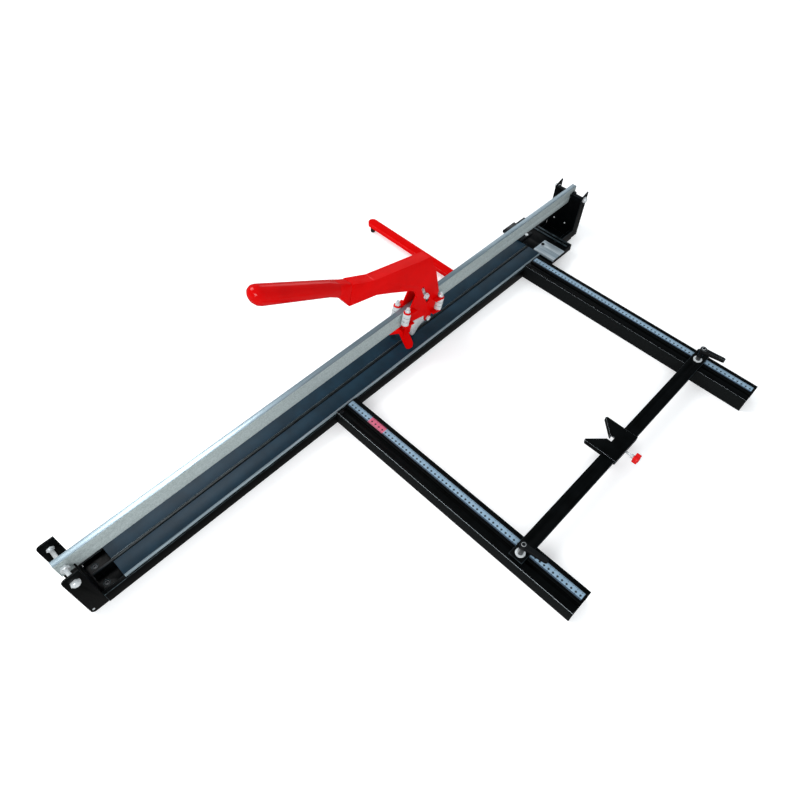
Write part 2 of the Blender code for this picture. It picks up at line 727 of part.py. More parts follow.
def angle_stop():
    """The stop that straddles the bar: two horns with a right-angled notch between them."""
    front = BAR_WIDTH / 2 + STOP_REACH
    back = -BAR_WIDTH / 2 - STOP_BACK
    tip = STOP_HALF - HORN_FLAT
    right = [(STOP_HALF, back), (STOP_HALF, front - HORN_FLAT), (tip, front)]
    outline = right + [(0, front - tip)] + [(-x, y) for x, y in reversed(right)]
    bottom = BASE_HEIGHT + STOP_DROP
    top = BASE_HEIGHT + BAR_THICKNESS + 2 * GAP + STOP_TOP
    at = (STOP_X, BAR_Y, 0)
    stop = prism("angle_stop", (BLACK, 0.4, 0.1), outline, "z", bottom, top, at=at)
    under = top - STOP_TOP
    hollow = prism("stop_hollow", None, inset(outline, STOP_SHEET), "z", 0, under, at=at, helper=True)
    combine(stop, hollow, "DIFFERENCE")
    notch_end = BAR_WIDTH / 2 + NOTCH_SETBACK
    notch = box(
        "stop_notch", None, (-NOTCH_HALF, notch_end, 0), (NOTCH_HALF, front, 2 * top), at=at, helper=True
    )
    combine(stop, notch, "DIFFERENCE")
    side = BAR_WIDTH / 2 + GAP
    tunnel = box(
        "stop_tunnel", None, (-2 * STOP_HALF, -side, 0), (2 * STOP_HALF, side, top - STOP_TOP),
        at=at, helper=True,
    )
    combine(stop, tunnel, "DIFFERENCE")
    screw_z = BASE_HEIGHT + BAR_THICKNESS / 2 + GAP
    bore = helper_rod(
        "stop_screw_bore", "y", back - SHEET, -side + 2 * GAP, SCREW_RADIUS + RUNNING,
        at=(STOP_X, BAR_Y, screw_z),
    )
    combine(stop, bore, "DIFFERENCE")
    stop_knob(back, side, screw_z)


def stop_knob(back, side, screw_z):
    """The clamp screw through the stop's back, with its three-lobed knob."""
    at = (STOP_X, BAR_Y, screw_z)
    knob_near = back - KNOB_STANDOFF
    knob_far = knob_near - KNOB_LENGTH
    collar = knob_near + KNOB_NECK
    rings = [
        (-side - GAP, SCREW_RADIUS, "round"), (collar, SCREW_RADIUS, "round"),
        (collar, KNOB_NECK_RADIUS, "round"), (knob_near - GAP, KNOB_NECK_RADIUS, "round"),
        (knob_near - GAP, SCREW_RADIUS, "round"), (knob_far + SHEET, SCREW_RADIUS, "round"),
    ]
    spindle("stop_screw", (ZINC, 0.3, 1.0), "y", rings, at=at, segments=16)
    outline = []
    steps = 36
    for i in range(steps):
        angle = 2 * math.pi * i / steps
        reach = KNOB_RADIUS - KNOB_LOBE * (0.5 - 0.5 * math.cos(3 * (angle - KNOB_TURN)))
        outline.append((reach * math.cos(angle), reach * math.sin(angle)))
    knob = prism("stop_knob", (RED, 0.35, 0.0), outline, "y", knob_far, knob_near - 3 * GAP, at=at)
    bore = helper_rod(
        "stop_knob_bore", "y", knob_far + SHEET - 2 * GAP, knob_near + SHEET, SCREW_RADIUS + GAP, at=at,
        segments=16,
    )
    combine(knob, bore, "DIFFERENCE")


# ---------------------------------------------------------------- support arm


def support_arm():
    """The fold-out arm on the far side: a lug on the base, the pivot bolt, the arm and its foot."""
    pivot_y = BASE_HALF + SUPPORT_PIVOT
    at = Vector((SUPPORT_X, pivot_y, 0))
    half = SUPPORT_WIDTH / 2
    bottom = SUPPORT_FOOT
    top = bottom + SUPPORT_HEIGHT
    length = SUPPORT_LENGTH - half
    outline = arc((0, 0), half, 180, 360, 12) + arc((0, length), half, 0, 180, 12)
    arm = prism("support_arm", (RED, 0.25, 0.0), outline, "z", bottom, top, at=at)
    hole = helper_rod("support_bore", "z", 0, 2 * top, AXLE_RADIUS + RUNNING, at=at)
    combine(arm, hole, "DIFFERENCE")
    foot = [
        (0, SUPPORT_FOOT_RADIUS * 0.9, "round"), (0.1 * SUPPORT_FOOT, SUPPORT_FOOT_RADIUS, "round"),
        (SUPPORT_FOOT - GAP, SUPPORT_FOOT_RADIUS, "round"),
    ]
    spindle("support_foot", (RUBBER, 0.8, 0.0), "z", foot, at=at + Vector((0, length, 0)))
    reach = SUPPORT_PIVOT - GAP
    lug_top = bottom - GAP
    lug_low = lug_top - LUG_THICKNESS
    plan = [(-half, -reach), (half, -reach)] + arc((0, 0), half, 0, 180, 12)
    lug = prism("support_lug", (BLACK, 0.4, 0.0), plan, "z", lug_low, lug_top, at=at)
    bore = helper_rod("lug_bore", "z", lug_low - LUG_THICKNESS, bottom, AXLE_RADIUS + GAP, at=at)
    combine(lug, bore, "DIFFERENCE")
    head = top + GAP
    nut = lug_low - GAP
    rings = [
        (nut - BOLT_HEAD_LENGTH, BOLT_HEAD, "hex"), (nut, BOLT_HEAD, "hex"), (nut, AXLE_RADIUS, "round"),
        (head, AXLE_RADIUS, "round"), (head, BOLT_HEAD, "hex"), (head + BOLT_HEAD_LENGTH, BOLT_HEAD, "hex"),
    ]
    spindle("support_bolt", (ZINC, 0.3, 1.0), "z", rings, at=at)


# ---------------------------------------------------------------- lever carriage


def lever_outline():
    """One side of the lever, level, around the pivot: from the web's front corner down to the
    roller ears and the lugs, and back along the underside of the handle."""
    return [
        (WEB_FRONT, WEB_TOP), (0.0155, 0.0605), (0.048, -0.005), (PLATE_HALF, -0.0235),
        (PLATE_HALF, PLATE_BOTTOM), (HOLDER_BOLT_U + 0.010, PLATE_BOTTOM),
        (HOLDER_BOLT_U + 0.008, HOLDER_LUG), (HOLDER_BOLT_U - 0.008, HOLDER_LUG),
        (HOLDER_BOLT_U - 0.014, PLATE_BOTTOM),
        (FOOT_U + FOOT_WIDTH / 2, PLATE_BOTTOM), (FOOT_U + FOOT_WIDTH / 2, FOOT_LUG),
        (-PLATE_HALF, FOOT_LUG), (-PLATE_HALF, -0.0235), (-0.036, 0.012),
        (-0.0469, 0.0272), (-0.0572, 0.0326), (-0.1251, 0.0524), (-0.1712, 0.0644),
        (CHANNEL_END, 0.0661), (CHANNEL_END, CHANNEL_TOP), (WEB_BEND, WEB_TOP),
    ]


def carriage_frame(pivot):
    """The lever's folded body: two side plates, the web over them and the ears of the rollers."""
    body = prism(
        "carriage_frame", (RED, 0.2, 0.0), lever_outline(), "y", -PLATE_OUTER, PLATE_OUTER, parent=pivot
    )
    under = WEB_TOP - PLATE_THICKNESS
    inner = PLATE_OUTER - PLATE_THICKNESS
    far = 2 * PLATE_HALF
    beyond = 2 * CHANNEL_END - WEB_BEND
    hollow = [
        (far, 2 * FOOT_LUG), (far, under), (WEB_BEND, under),
        (beyond, 2 * CHANNEL_TOP - WEB_TOP - PLATE_THICKNESS), (beyond, 2 * FOOT_LUG),
    ]
    inside = prism("lever_hollow", None, hollow, "y", -inner, inner, parent=pivot, helper=True)
    combine(body, inside, "DIFFERENCE")
    combine(body, roller_ears(pivot), "UNION")
    combine(body, carriage_bores(pivot), "DIFFERENCE")
    return body


def roller_ears(pivot):
    """The lugs above and below each side roller, all in one helper."""
    bm = bmesh.new()
    middle = axle_y()
    for u_side in (-1, 1):
        for y_side in (-1, 1):
            for level in (-1, 1):
                low = -ROLLER_DROP + level * (ROLLER_HEIGHT / 2 + GAP) - (EAR_THICKNESS if level < 0 else 0)
                u, v = u_side * ROLLER_SPREAD, y_side * middle
                start = -90 if u_side > 0 else 90
                cap = arc((u, v), ROLLER_RADIUS - EAR_INSET, start, start + 180, 10)
                root = u_side * (PLATE_HALF - PLATE_OUTER)
                outline = cap + [(root, cap[-1][1]), (root, cap[0][1])]
                extrude_into(bm, outline, "z", low, low + EAR_THICKNESS)
    return finish("roller_ears", bm, None, parent=pivot, helper=True)


def axle_y():
    """How far a side roller's axle is from the middle of the rail."""
    return RAIL_THICKNESS / 2 + GAP + ROLLER_RADIUS


def carriage_bores(pivot):
    """The holes in the carriage: four axle holes, the depth slot and the holder's bolt hole."""
    bm = bmesh.new()
    low = -ROLLER_DROP - ROLLER_HEIGHT
    high = -ROLLER_DROP + ROLLER_HEIGHT
    axle = AXLE_RADIUS + GAP
    for u in (-ROLLER_SPREAD, ROLLER_SPREAD):
        for y in (-axle_y(), axle_y()):
            rod = bmesh.new()
            spindle_into(rod, "z", [(low, axle, "round"), (high, axle, "round")])
            bmesh.ops.translate(rod, verts=rod.verts, vec=(u, y, 0))
            append(bm, rod)
    up = (-math.sin(SLOT_TILT) * DEPTH_SLOT_UP, math.cos(SLOT_TILT) * DEPTH_SLOT_UP)
    down = (math.sin(SLOT_TILT) * DEPTH_SLOT_DOWN, -math.cos(SLOT_TILT) * DEPTH_SLOT_DOWN)
    turn = math.degrees(SLOT_TILT)
    outline = arc(up, DEPTH_SLOT_HALF, turn, turn + 180, 8)
    outline += arc(down, DEPTH_SLOT_HALF, turn + 180, turn + 360, 8)
    extrude_into(bm, outline, "y", -2 * PLATE_OUTER, 2 * PLATE_OUTER)
    rod = bmesh.new()
    spindle_into(rod, "y", [(-2 * PLATE_OUTER, axle, "round"), (2 * PLATE_OUTER, axle, "round")])
    bmesh.ops.translate(rod, verts=rod.verts, vec=(HOLDER_BOLT_U, 0, HOLDER_BOLT_W))
    append(bm, rod)
    return finish("carriage_bores", bm, None, parent=pivot, helper=True)


def append(bm, other):
    mesh = bpy.data.meshes.new("piece")
    other.to_mesh(mesh)
    other.free()
    bm.from_mesh(mesh)
    bpy.data.meshes.remove(mesh)


def side_rollers(pivot):
    """Four rollers that run along the rail's sides, each a pair of bearings on its own bolt."""
    low = -ROLLER_DROP - ROLLER_HEIGHT / 2
    middle, high = -ROLLER_DROP, -ROLLER_DROP + ROLLER_HEIGHT / 2
    groove = ROLLER_RADIUS - ROLLER_GROOVE
    top = high + GAP + EAR_THICKNESS + GAP
    nut = top + NUT_LENGTH
    foot = low - GAP - EAR_THICKNESS - GAP
    for u_word, u in (("left", -ROLLER_SPREAD), ("right", ROLLER_SPREAD)):
        for y_word, y in (("near", -axle_y()), ("far", axle_y())):
            rings = [
                (low, ROLLER_RADIUS, "round"), (middle - 2 * GAP, ROLLER_RADIUS, "round"),
                (middle, groove, "round"), (middle + 2 * GAP, ROLLER_RADIUS, "round"),
                (high, ROLLER_RADIUS, "round"),
            ]
            word = f"{y_word}_{u_word}"
            spindle(
                f"{word}_roller", (ZINC, 0.2, 1.0), "z", rings, bore=AXLE_RADIUS + RUNNING,
                at=(u, y, 0), parent=pivot,
            )
            bolt = [
                (foot - BOLT_FOOT, BOLT_HEAD, "hex"), (foot, BOLT_HEAD, "hex"),
                (foot, AXLE_RADIUS, "round"), (top, AXLE_RADIUS, "round"),
                (top, BOLT_HEAD, "hex"), (nut, BOLT_HEAD, "hex"), (nut, AXLE_RADIUS, "round"),
                (nut + BOLT_TAIL, AXLE_RADIUS, "round"),
            ]
            spindle(f"{word}_roller_bolt", (ZINC, 0.25, 1.0), "z", bolt, at=(u, y, 0), parent=pivot)


def pivot_bolt_and_roller(pivot):
    """The bolt in the depth slot, and the roller on it that runs on top of the rail."""
    half = TOP_ROLLER_WIDTH / 2
    rings = [(-half, TOP_ROLLER_RADIUS, "round"), (half, TOP_ROLLER_RADIUS, "round")]
    spindle(
        "top_roller", (ZINC, 0.2, 1.0), "y", rings, bore=AXLE_RADIUS + RUNNING, parent=pivot,
    )
    outside = PLATE_OUTER + GAP
    washer = outside + WASHER_THIN
    end = washer + BOLT_HEAD_LENGTH
    half_rings = [
        (outside, AXLE_RADIUS, "round"), (outside, WASHER_WIDE, "round"),
        (washer, WASHER_WIDE, "round"), (washer, BOLT_HEAD, "hex"), (end, BOLT_HEAD, "hex"),
    ]
    rings = [(-a, r, kind) for a, r, kind in reversed(half_rings)] + half_rings
    spindle("pivot_bolt", (ZINC, 0.25, 1.0), "y", rings, parent=pivot)


def wheel_w():
    """The scoring wheel's height under the pivot, from its clearance over the ridge at rest."""
    rise = BASE_HEIGHT + RIDGE_RISE + WHEEL_CLEARANCE + WHEEL_RADIUS - pivot_height()
    return (rise + WHEEL_U * math.sin(CARRIAGE_TILT)) / math.cos(CARRIAGE_TILT)


def pivot_height():
    return BASE_HEIGHT + RAIL_CLEARANCE + RAIL_HEIGHT + GAP + TOP_ROLLER_RADIUS


def wheel_and_holder(pivot):
    """The fork that carries the scoring wheel, the wheel, its pin and the holder's bolt."""
    w = wheel_w()
    top = PLATE_BOTTOM - HOLDER_TOP_GAP
    nose = HOLDER_BOLT_U + HOLDER_NOSE
    low = HOLDER_BOLT_W - HOLDER_DROP
    outline = [
        (nose, top), (nose, low), (FORK_FRONT, FORK_SHOULDER),
        *arc((WHEEL_U, w), FORK_BOSS, -10, -170, 8),
        (FORK_BACK, FORK_SHOULDER), (FORK_BACK, FORK_TOP), (0, top),
    ]
    holder = prism("wheel_holder", (ZINC, 0.3, 1.0), outline, "y", -FORK_HALF, FORK_HALF, parent=pivot)
    shoulder = rectangle(HOLDER_BOLT_U - HOLDER_BACK, nose, low, top)
    block = prism("holder_block", None, shoulder, "y", -HOLDER_HALF, HOLDER_HALF, parent=pivot, helper=True)
    combine(holder, block, "UNION")
    slot_half = WHEEL_THICKNESS / 2 + GAP
    reach = WHEEL_RADIUS + 2 * GAP
    slot = rectangle(WHEEL_U - 2 * reach, WHEEL_U + 2 * reach, w - 2 * reach, w + reach)
    fork = prism("wheel_slot", None, slot, "y", -slot_half, slot_half, parent=pivot, helper=True)
    combine(holder, fork, "DIFFERENCE")
    pin_bore = helper_rod(
        "wheel_pin_bore", "y", -2 * FORK_HALF, 2 * FORK_HALF, WHEEL_PIN + GAP,
        at=(WHEEL_U, 0, w), parent=pivot,
    )
    combine(holder, pin_bore, "DIFFERENCE")
    at = (HOLDER_BOLT_U, 0, HOLDER_BOLT_W)
    bolt_bore = helper_rod(
        "holder_bolt_bore", "y", -2 * HOLDER_HALF, 2 * HOLDER_HALF, AXLE_RADIUS + GAP, at=at, parent=pivot,
    )
    combine(holder, bolt_bore, "DIFFERENCE")
    half = WHEEL_THICKNESS / 2
    rings = [
        (-half, WHEEL_RADIUS - 2 * half, "round"), (-0.2 * half, WHEEL_RADIUS, "round"),
        (0.2 * half, WHEEL_RADIUS, "round"), (half, WHEEL_RADIUS - 2 * half, "round"),
    ]
    spindle(
        "scoring_wheel", (ZINC, 0.15, 1.0), "y", rings, bore=WHEEL_PIN + RUNNING, segments=36,
        at=(WHEEL_U, 0, w), parent=pivot,
    )
    end = FORK_HALF + GAP
    head = 1.7 * WHEEL_PIN
    half_pin = [(end, WHEEL_PIN, "round"), (end, head, "round"), (end + PIN_HEAD, head, "round")]
    pin = [(-a, r, kind) for a, r, kind in reversed(half_pin)] + half_pin
    spindle("wheel_pin", (ZINC, 0.3, 1.0), "y", pin, at=(WHEEL_U, 0, w), parent=pivot, segments=16)
    outside = PLATE_OUTER + GAP
    bolt = [
        (-outside - BOLT_HEAD_LENGTH, BOLT_HEAD, "hex"), (-outside, BOLT_HEAD, "hex"),
        (-outside, AXLE_RADIUS, "round"), (outside, AXLE_RADIUS, "round"),
        (outside, BOLT_HEAD, "hex"), (outside + BOLT_HEAD_LENGTH, BOLT_HEAD, "hex"),
    ]
    spindle("holder_bolt", (ZINC, 0.25, 1.0), "y", bolt, at=at, parent=pivot)


def breaking_foot(pivot):
    """The breaker: a stem between the lugs and two wings that press a tile on both sides."""
    lift = pivot_height() - math.sin(CARRIAGE_TILT) * (FOOT_U + FOOT_WIDTH / 2)
    low = (BASE_HEIGHT + FOOT_REST_CLEARANCE - lift) / math.cos(CARRIAGE_TILT)
    stem = PLATE_OUTER - PLATE_THICKNESS - GAP
    right = [
        (stem, FOOT_STEM_TOP), (stem, FOOT_APEX), (FOOT_SPAN, low + FOOT_BLADE), (FOOT_SPAN, low),
        (FOOT_SPAN - FOOT_BLADE, low), (0, FOOT_APEX - FOOT_BLADE / 2),
    ]
    outline = right + [(-y, w) for y, w in reversed(right[:-1])]
    at = (FOOT_U, 0, 0)
    side = FOOT_WIDTH / 2
    blade = prism("breaking_foot", (RED, 0.25, 0.0), outline, "x", -side, side, at=at, parent=pivot)
    plan = []
    for turn, u, y in ((0, 1, 1), (90, -1, 1), (180, -1, -1), (270, 1, -1)):
        corner = (u * (side + GAP - FOOT_TIP_ROUND), y * (FOOT_SPAN + GAP - FOOT_TIP_ROUND))
        plan += arc(corner, FOOT_TIP_ROUND, turn, turn + 90, 6)
    keep = prism("foot_plan", None, plan, "z", 2 * FOOT_LUG, 0, at=at, parent=pivot, helper=True)
    combine(blade, keep, "INTERSECT")


def grip(pivot):
    """The handle: a round grip that flattens where it meets the lever's channel."""
    stations = [
        (CHANNEL_END - GAP, 0.0908, 0.0247, PLATE_OUTER, 12.0),
        (-0.262, 0.1013, 0.0195, 0.0145, 4.0),
        (-0.2783, 0.1105, 0.0162, 0.0160, 2.8),
        (GRIP_START, GRIP_START_HEIGHT, GRIP_RADIUS, GRIP_RADIUS, 2.0),
    ]
    dome = [(0.0, 1.0), (0.35, 0.94), (0.7, 0.72), (0.92, 0.40), (1.0, 0.12)]
    dome_start = GRIP_TIP + GRIP_TIP_RADIUS
    for part, size in dome:
        u = dome_start - part * GRIP_TIP_RADIUS
        height = GRIP_START_HEIGHT + GRIP_SLOPE * (GRIP_START - u)
        stations.append((u, height, GRIP_TIP_RADIUS * size, GRIP_TIP_RADIUS * size, 2.0))
    bm = bmesh.new()
    segments = 24
    loops = []
    for u, centre, half_height, half_width, power in stations:
        loop = []
        for i in range(segments):
            angle = 2 * math.pi * (i + 0.5) / segments
            c, s = math.cos(angle), math.sin(angle)
            y = half_width * math.copysign(abs(c) ** (2 / power), c)
            z = centre + half_height * math.copysign(abs(s) ** (2 / power), s)
            loop.append(bm.verts.new((u, y, z)))
        loops.append(loop)
    for low, high in zip(loops, loops[1:]):
        for i in range(segments):
            j = (i + 1) % segments
            bm.faces.new((low[i], low[j], high[j], high[i]))
    bm.faces.new(loops[0])
    bm.faces.new(loops[-1])
    return finish("handle_grip", bm, (RED, 0.2, 0.0), parent=pivot)


def build():
    clear_scene()
    base_channel()
    breaking_ridge()
    bed_boards_and_pads()
    end_plate()
    rail()
    end_bracket(-1, "near", NEAR_BRACKET_HALF, NEAR_BRACKET_TOP, NEAR_WALL_TOP, 0, 0, NEAR_CHEEK_ROUND)
    end_bracket(
        1, "far", FAR_BRACKET_HALF, FAR_BRACKET_TOP, FAR_WALL_TOP, FAR_WALL_DIP, FAR_HORN, FAR_CHEEK_ROUND
    )
    cross_stud(-1, "near", NEAR_BRACKET_HALF)
    cross_stud(1, "far", FAR_BRACKET_HALF)
    cross_foot()
    clamp_plates()
    side_arm(0, "near")
    side_arm(1, "far")
    cross_bar()
    angle_stop()
    support_arm()
    pivot = pivot_empty("carriage_pivot", (CARRIAGE_X, 0, pivot_height()), (0, CARRIAGE_TILT, 0))
    carriage_frame(pivot)
    side_rollers(pivot)
    pivot_bolt_and_roller(pivot)
    wheel_and_holder(pivot)
    breaking_foot(pivot)
    grip(pivot)


build()
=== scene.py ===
import json
import math

import bpy
from mathutils import Matrix, Vector


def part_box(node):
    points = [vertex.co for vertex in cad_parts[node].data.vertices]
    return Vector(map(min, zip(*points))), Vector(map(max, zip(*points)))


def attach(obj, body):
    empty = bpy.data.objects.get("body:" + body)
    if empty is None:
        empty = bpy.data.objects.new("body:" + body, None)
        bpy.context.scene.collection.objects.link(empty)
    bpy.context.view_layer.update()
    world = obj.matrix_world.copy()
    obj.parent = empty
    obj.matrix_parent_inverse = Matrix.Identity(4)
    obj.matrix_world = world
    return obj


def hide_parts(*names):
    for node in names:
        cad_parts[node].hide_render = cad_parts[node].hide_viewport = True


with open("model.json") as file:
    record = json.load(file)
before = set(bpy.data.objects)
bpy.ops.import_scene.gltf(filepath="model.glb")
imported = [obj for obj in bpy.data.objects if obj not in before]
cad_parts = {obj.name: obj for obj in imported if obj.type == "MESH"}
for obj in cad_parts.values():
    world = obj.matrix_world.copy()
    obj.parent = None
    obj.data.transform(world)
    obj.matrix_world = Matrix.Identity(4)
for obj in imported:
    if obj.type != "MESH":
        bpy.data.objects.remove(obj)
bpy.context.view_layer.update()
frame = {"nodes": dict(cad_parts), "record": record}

nodes = frame["nodes"]
behaviour = frame["record"]["behaviour"]
joint_named = {joint["name"]: joint for joint in behaviour["joints"]}
body_of_node = {node: body for body, held in behaviour["bodies"].items() for node in held}


# Studio: the camera looks down along the rail from above its near end. A pale sky lights the
# cutter evenly, and softboxes give the steel and the enamel their highlights. Mirror-like
# reflections see a dimmer sky, as between black cards, so that black coats stay black.

camera_place = Vector((-0.6435, -0.6739, 1.1467))
camera_turn = -0.8238
camera_rise = 0.9342
camera_roll = 0.0326
camera_lens = 28.64
sky_strength = 0.80
card_strength = 0.22

back = Vector((
    math.sin(camera_turn) * math.cos(camera_rise),
    -math.cos(camera_turn) * math.cos(camera_rise),
    math.sin(camera_rise),
))
level = (-back).cross(Vector((0, 0, 1))).normalized()
upright = level.cross(-back)
side = level * math.cos(camera_roll) + upright * math.sin(camera_roll)
top = upright * math.cos(camera_roll) - level * math.sin(camera_roll)
camera_data = bpy.data.cameras.new("camera")
camera_data.lens = camera_lens
camera_data.clip_start = 0.01
camera = bpy.data.objects.new("camera", camera_data)
camera.matrix_world = Matrix.Translation(camera_place) @ Matrix((side, top, back)).transposed().to_4x4()
bpy.context.scene.collection.objects.link(camera)
bpy.context.scene.camera = camera
bpy.context.scene.view_settings.view_transform = "Standard"


def dim_to_gloss(tree, bright, dim, output):
    """Mirror-like rays take the second shader, all other rays the first."""
    path = tree.nodes.new("ShaderNodeLightPath")
    choice = tree.nodes.new("ShaderNodeMixShader")
    tree.links.new(path.outputs["Is Glossy Ray"], choice.inputs["Fac"])
    tree.links.new(bright, choice.inputs[1])
    tree.links.new(dim, choice.inputs[2])
    tree.links.new(choice.outputs["Shader"], output)


sky = bpy.data.worlds.new("sky")
sky.use_nodes = True
bright_sky = sky.node_tree.nodes["Background"]
bright_sky.inputs["Color"].default_value = (0.93, 0.97, 1.0, 1)
bright_sky.inputs["Strength"].default_value = sky_strength
dim_sky = sky.node_tree.nodes.new("ShaderNodeBackground")
dim_sky.inputs["Color"].default_value = (0.80, 0.92, 1.0, 1)
dim_sky.inputs["Strength"].default_value = card_strength
dim_to_gloss(
    sky.node_tree, bright_sky.outputs["Background"], dim_sky.outputs["Background"],
    sky.node_tree.nodes["World Output"].inputs["Surface"],
)
bpy.context.scene.world = sky


def softbox(name, place, aim, size, power):
    lamp = bpy.data.lights.new(name, "AREA")
    lamp.shape = "DISK"
    lamp.size = size
    lamp.energy = power
    box = bpy.data.objects.new(name, lamp)
    box.location = place
    box.rotation_euler = (Vector(aim) - Vector(place)).to_track_quat("-Z", "Y").to_euler()
    bpy.context.scene.collection.objects.link(box)


softbox("key_light", (-2.2, -1.6, 2.0), (0.0, -0.1, 0.1), 1.4, 40)
softbox("near_light", (-0.80, 1.55, 2.35), (-0.6, 0.0, 0.1), 1.5, 42)
softbox("far_light", (2.6, 1.3, 0.95), (0.1, 0.0, 0.2), 1.2, 4)


# Base: a folded steel channel with a satin black coat, open upwards, that runs from one end
# bracket to the other. Folding leaves its corners slightly round, and a lighter metallic finish on them is a
# painted highlight.

def tint(red, green, blue):
    """An everyday 0-255 colour as the linear colour that a shader takes."""
    return (*(((c / 255 + 0.055) / 1.055) ** 2.4 if c > 10 else c / 3294.6 for c in (red, green, blue)), 1)


def effect(name, inputs, outputs):
    """An empty node group with these sockets, and its two ends."""
    group = bpy.data.node_groups.new(name, "ShaderNodeTree")
    for label, kind, value in inputs:
        group.interface.new_socket(label, in_out="INPUT", socket_type=kind).default_value = value
    for label, kind in outputs:
        group.interface.new_socket(label, in_out="OUTPUT", socket_type=kind)
    return group, group.nodes.new("NodeGroupInput"), group.nodes.new("NodeGroupOutput")


def blended(group, given, texture, low, high, out):
    """Mixes Colour with Tone by a texture between two levels."""
    sharpen = group.nodes.new("ShaderNodeMapRange")
    sharpen.inputs["From Min"].default_value = low
    sharpen.inputs["From Max"].default_value = high
    group.links.new(texture, sharpen.inputs["Value"])
    colour = group.nodes.new("ShaderNodeMix")
    colour.data_type = "RGBA"
    group.links.new(sharpen.outputs["Result"], colour.inputs["Factor"])
    group.links.new(given.outputs["Colour"], colour.inputs["A"])
    group.links.new(given.outputs["Tone"], colour.inputs["B"])
    group.links.new(colour.outputs["Result"], out.inputs["Colour"])


def gloss_from(group, given, texture, out):
    gloss = group.nodes.new("ShaderNodeMapRange")
    group.links.new(texture, gloss.inputs["Value"])
    group.links.new(given.outputs["Gloss low"], gloss.inputs["To Min"])
    group.links.new(given.outputs["Gloss high"], gloss.inputs["To Max"])
    group.links.new(gloss.outputs["Result"], out.inputs["Roughness"])
    group.links.new(texture, out.inputs["Height"])


finish_outputs = [
    ("Colour", "NodeSocketColor"), ("Roughness", "NodeSocketFloat"), ("Height", "NodeSocketFloat"),
]
mottle, given, out = effect(
    "mottle",
    [("Colour", "NodeSocketColor", (0.5, 0.5, 0.5, 1)), ("Tone", "NodeSocketColor", (0.4, 0.4, 0.4, 1)),
     ("Cloud scale", "NodeSocketFloat", 40), ("Grain scale", "NodeSocketFloat", 900),
     ("Gloss low", "NodeSocketFloat", 0.3), ("Gloss high", "NodeSocketFloat", 0.5)],
    finish_outputs,
)
place = mottle.nodes.new("ShaderNodeTexCoord")
clouds = mottle.nodes.new("ShaderNodeTexNoise")
clouds.inputs["Detail"].default_value = 4
grain = mottle.nodes.new("ShaderNodeTexNoise")
grain.inputs["Detail"].default_value = 2
for texture, scale in ((clouds, "Cloud scale"), (grain, "Grain scale")):
    mottle.links.new(place.outputs["Object"], texture.inputs["Vector"])
    mottle.links.new(given.outputs[scale], texture.inputs["Scale"])
blended(mottle, given, clouds.outputs["Fac"], 0.35, 0.65, out)
gloss_from(mottle, given, grain.outputs["Fac"], out)


def surface(name, group, given, metallic=0.0, bump=0.1, depth=0.0002, **shader_values):
    """A material: the effect's colour, gloss and height go to a Principled shader."""
    made = bpy.data.materials.new(name)
    made.use_nodes = True
    tree = made.node_tree
    shader = tree.nodes["Principled BSDF"]
    shader.inputs["Metallic"].default_value = metallic
    for label, value in shader_values.items():
        shader.inputs[label.replace("_", " ")].default_value = value
    source = tree.nodes.new("ShaderNodeGroup")
    source.node_tree = group
    for label, value in given.items():
        source.inputs[label].default_value = value
    raised = tree.nodes.new("ShaderNodeBump")
    raised.inputs["Strength"].default_value = bump
    raised.inputs["Distance"].default_value = depth
    tree.links.new(source.outputs["Colour"], shader.inputs["Base Color"])
    tree.links.new(source.outputs["Roughness"], shader.inputs["Roughness"])
    tree.links.new(source.outputs["Height"], raised.inputs["Height"])
    tree.links.new(raised.outputs["Normal"], shader.inputs["Normal"])
    return made


def mottled(colour, tone, clouds, grain, low, high):
    return {"Colour": tint(*colour), "Tone": tint(*tone), "Cloud scale": clouds, "Grain scale": grain,
            "Gloss low": low, "Gloss high": high}


def clear_selection():
    bpy.ops.object.select_all(action="DESELECT")


def hold(piece):
    clear_selection()
    piece.select_set(True)
    bpy.context.view_layer.objects.active = piece


def settle(piece, name, node, *replaced):
    """Names a finished piece, puts its place in its mesh, and hands it to the body of `node`."""
    piece.name = name
    piece.data.name = name
    hold(piece)
    bpy.ops.object.transform_apply(location=True, rotation=True, scale=True)
    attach(piece, body_of_node[node])
    if replaced:
        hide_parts(*replaced)
    return piece


sharp_angle = math.radians(40)
smooth_angle = math.radians(35)
flat_angle = math.radians(0.5)
same_place = 0.00001


def dress(node, finish, edge=0.0006, segments=2, highlight_rim=None, joins=None):
    """The node's own shape with its corners broken, its surface finished, and its rounded corners in a
    painted highlight where one is given. Edges where it joins another piece flush stay sharp."""
    mesh = nodes[node].data.copy()
    mesh.materials.clear()
    mesh.materials.append(finish)
    if highlight_rim:
        mesh.materials.append(highlight_rim)
    piece = bpy.data.objects.new(node, mesh)
    bpy.context.scene.collection.objects.link(piece)
    hold(piece)
    bpy.ops.object.mode_set(mode="EDIT")
    bpy.ops.mesh.select_all(action="SELECT")
    bpy.ops.mesh.remove_doubles(threshold=same_place)
    bpy.ops.mesh.dissolve_limited(angle_limit=flat_angle)
    bpy.ops.mesh.select_mode(type="EDGE")
    bpy.ops.mesh.select_all(action="DESELECT")
    bpy.ops.mesh.edges_select_sharp(sharpness=sharp_angle)
    bpy.ops.object.mode_set(mode="OBJECT")
    for line in mesh.edges:
        if joins and all(joins(mesh.vertices[end].co) for end in line.vertices):
            line.select = False
    bpy.ops.object.mode_set(mode="EDIT")
    bpy.ops.mesh.bevel(offset=edge, segments=segments, clamp_overlap=True, material=1 if highlight_rim else -1)
    bpy.ops.object.mode_set(mode="OBJECT")
    bpy.ops.object.shade_smooth_by_angle(angle=smooth_angle)
    return settle(piece, node + "_finished", node, node)


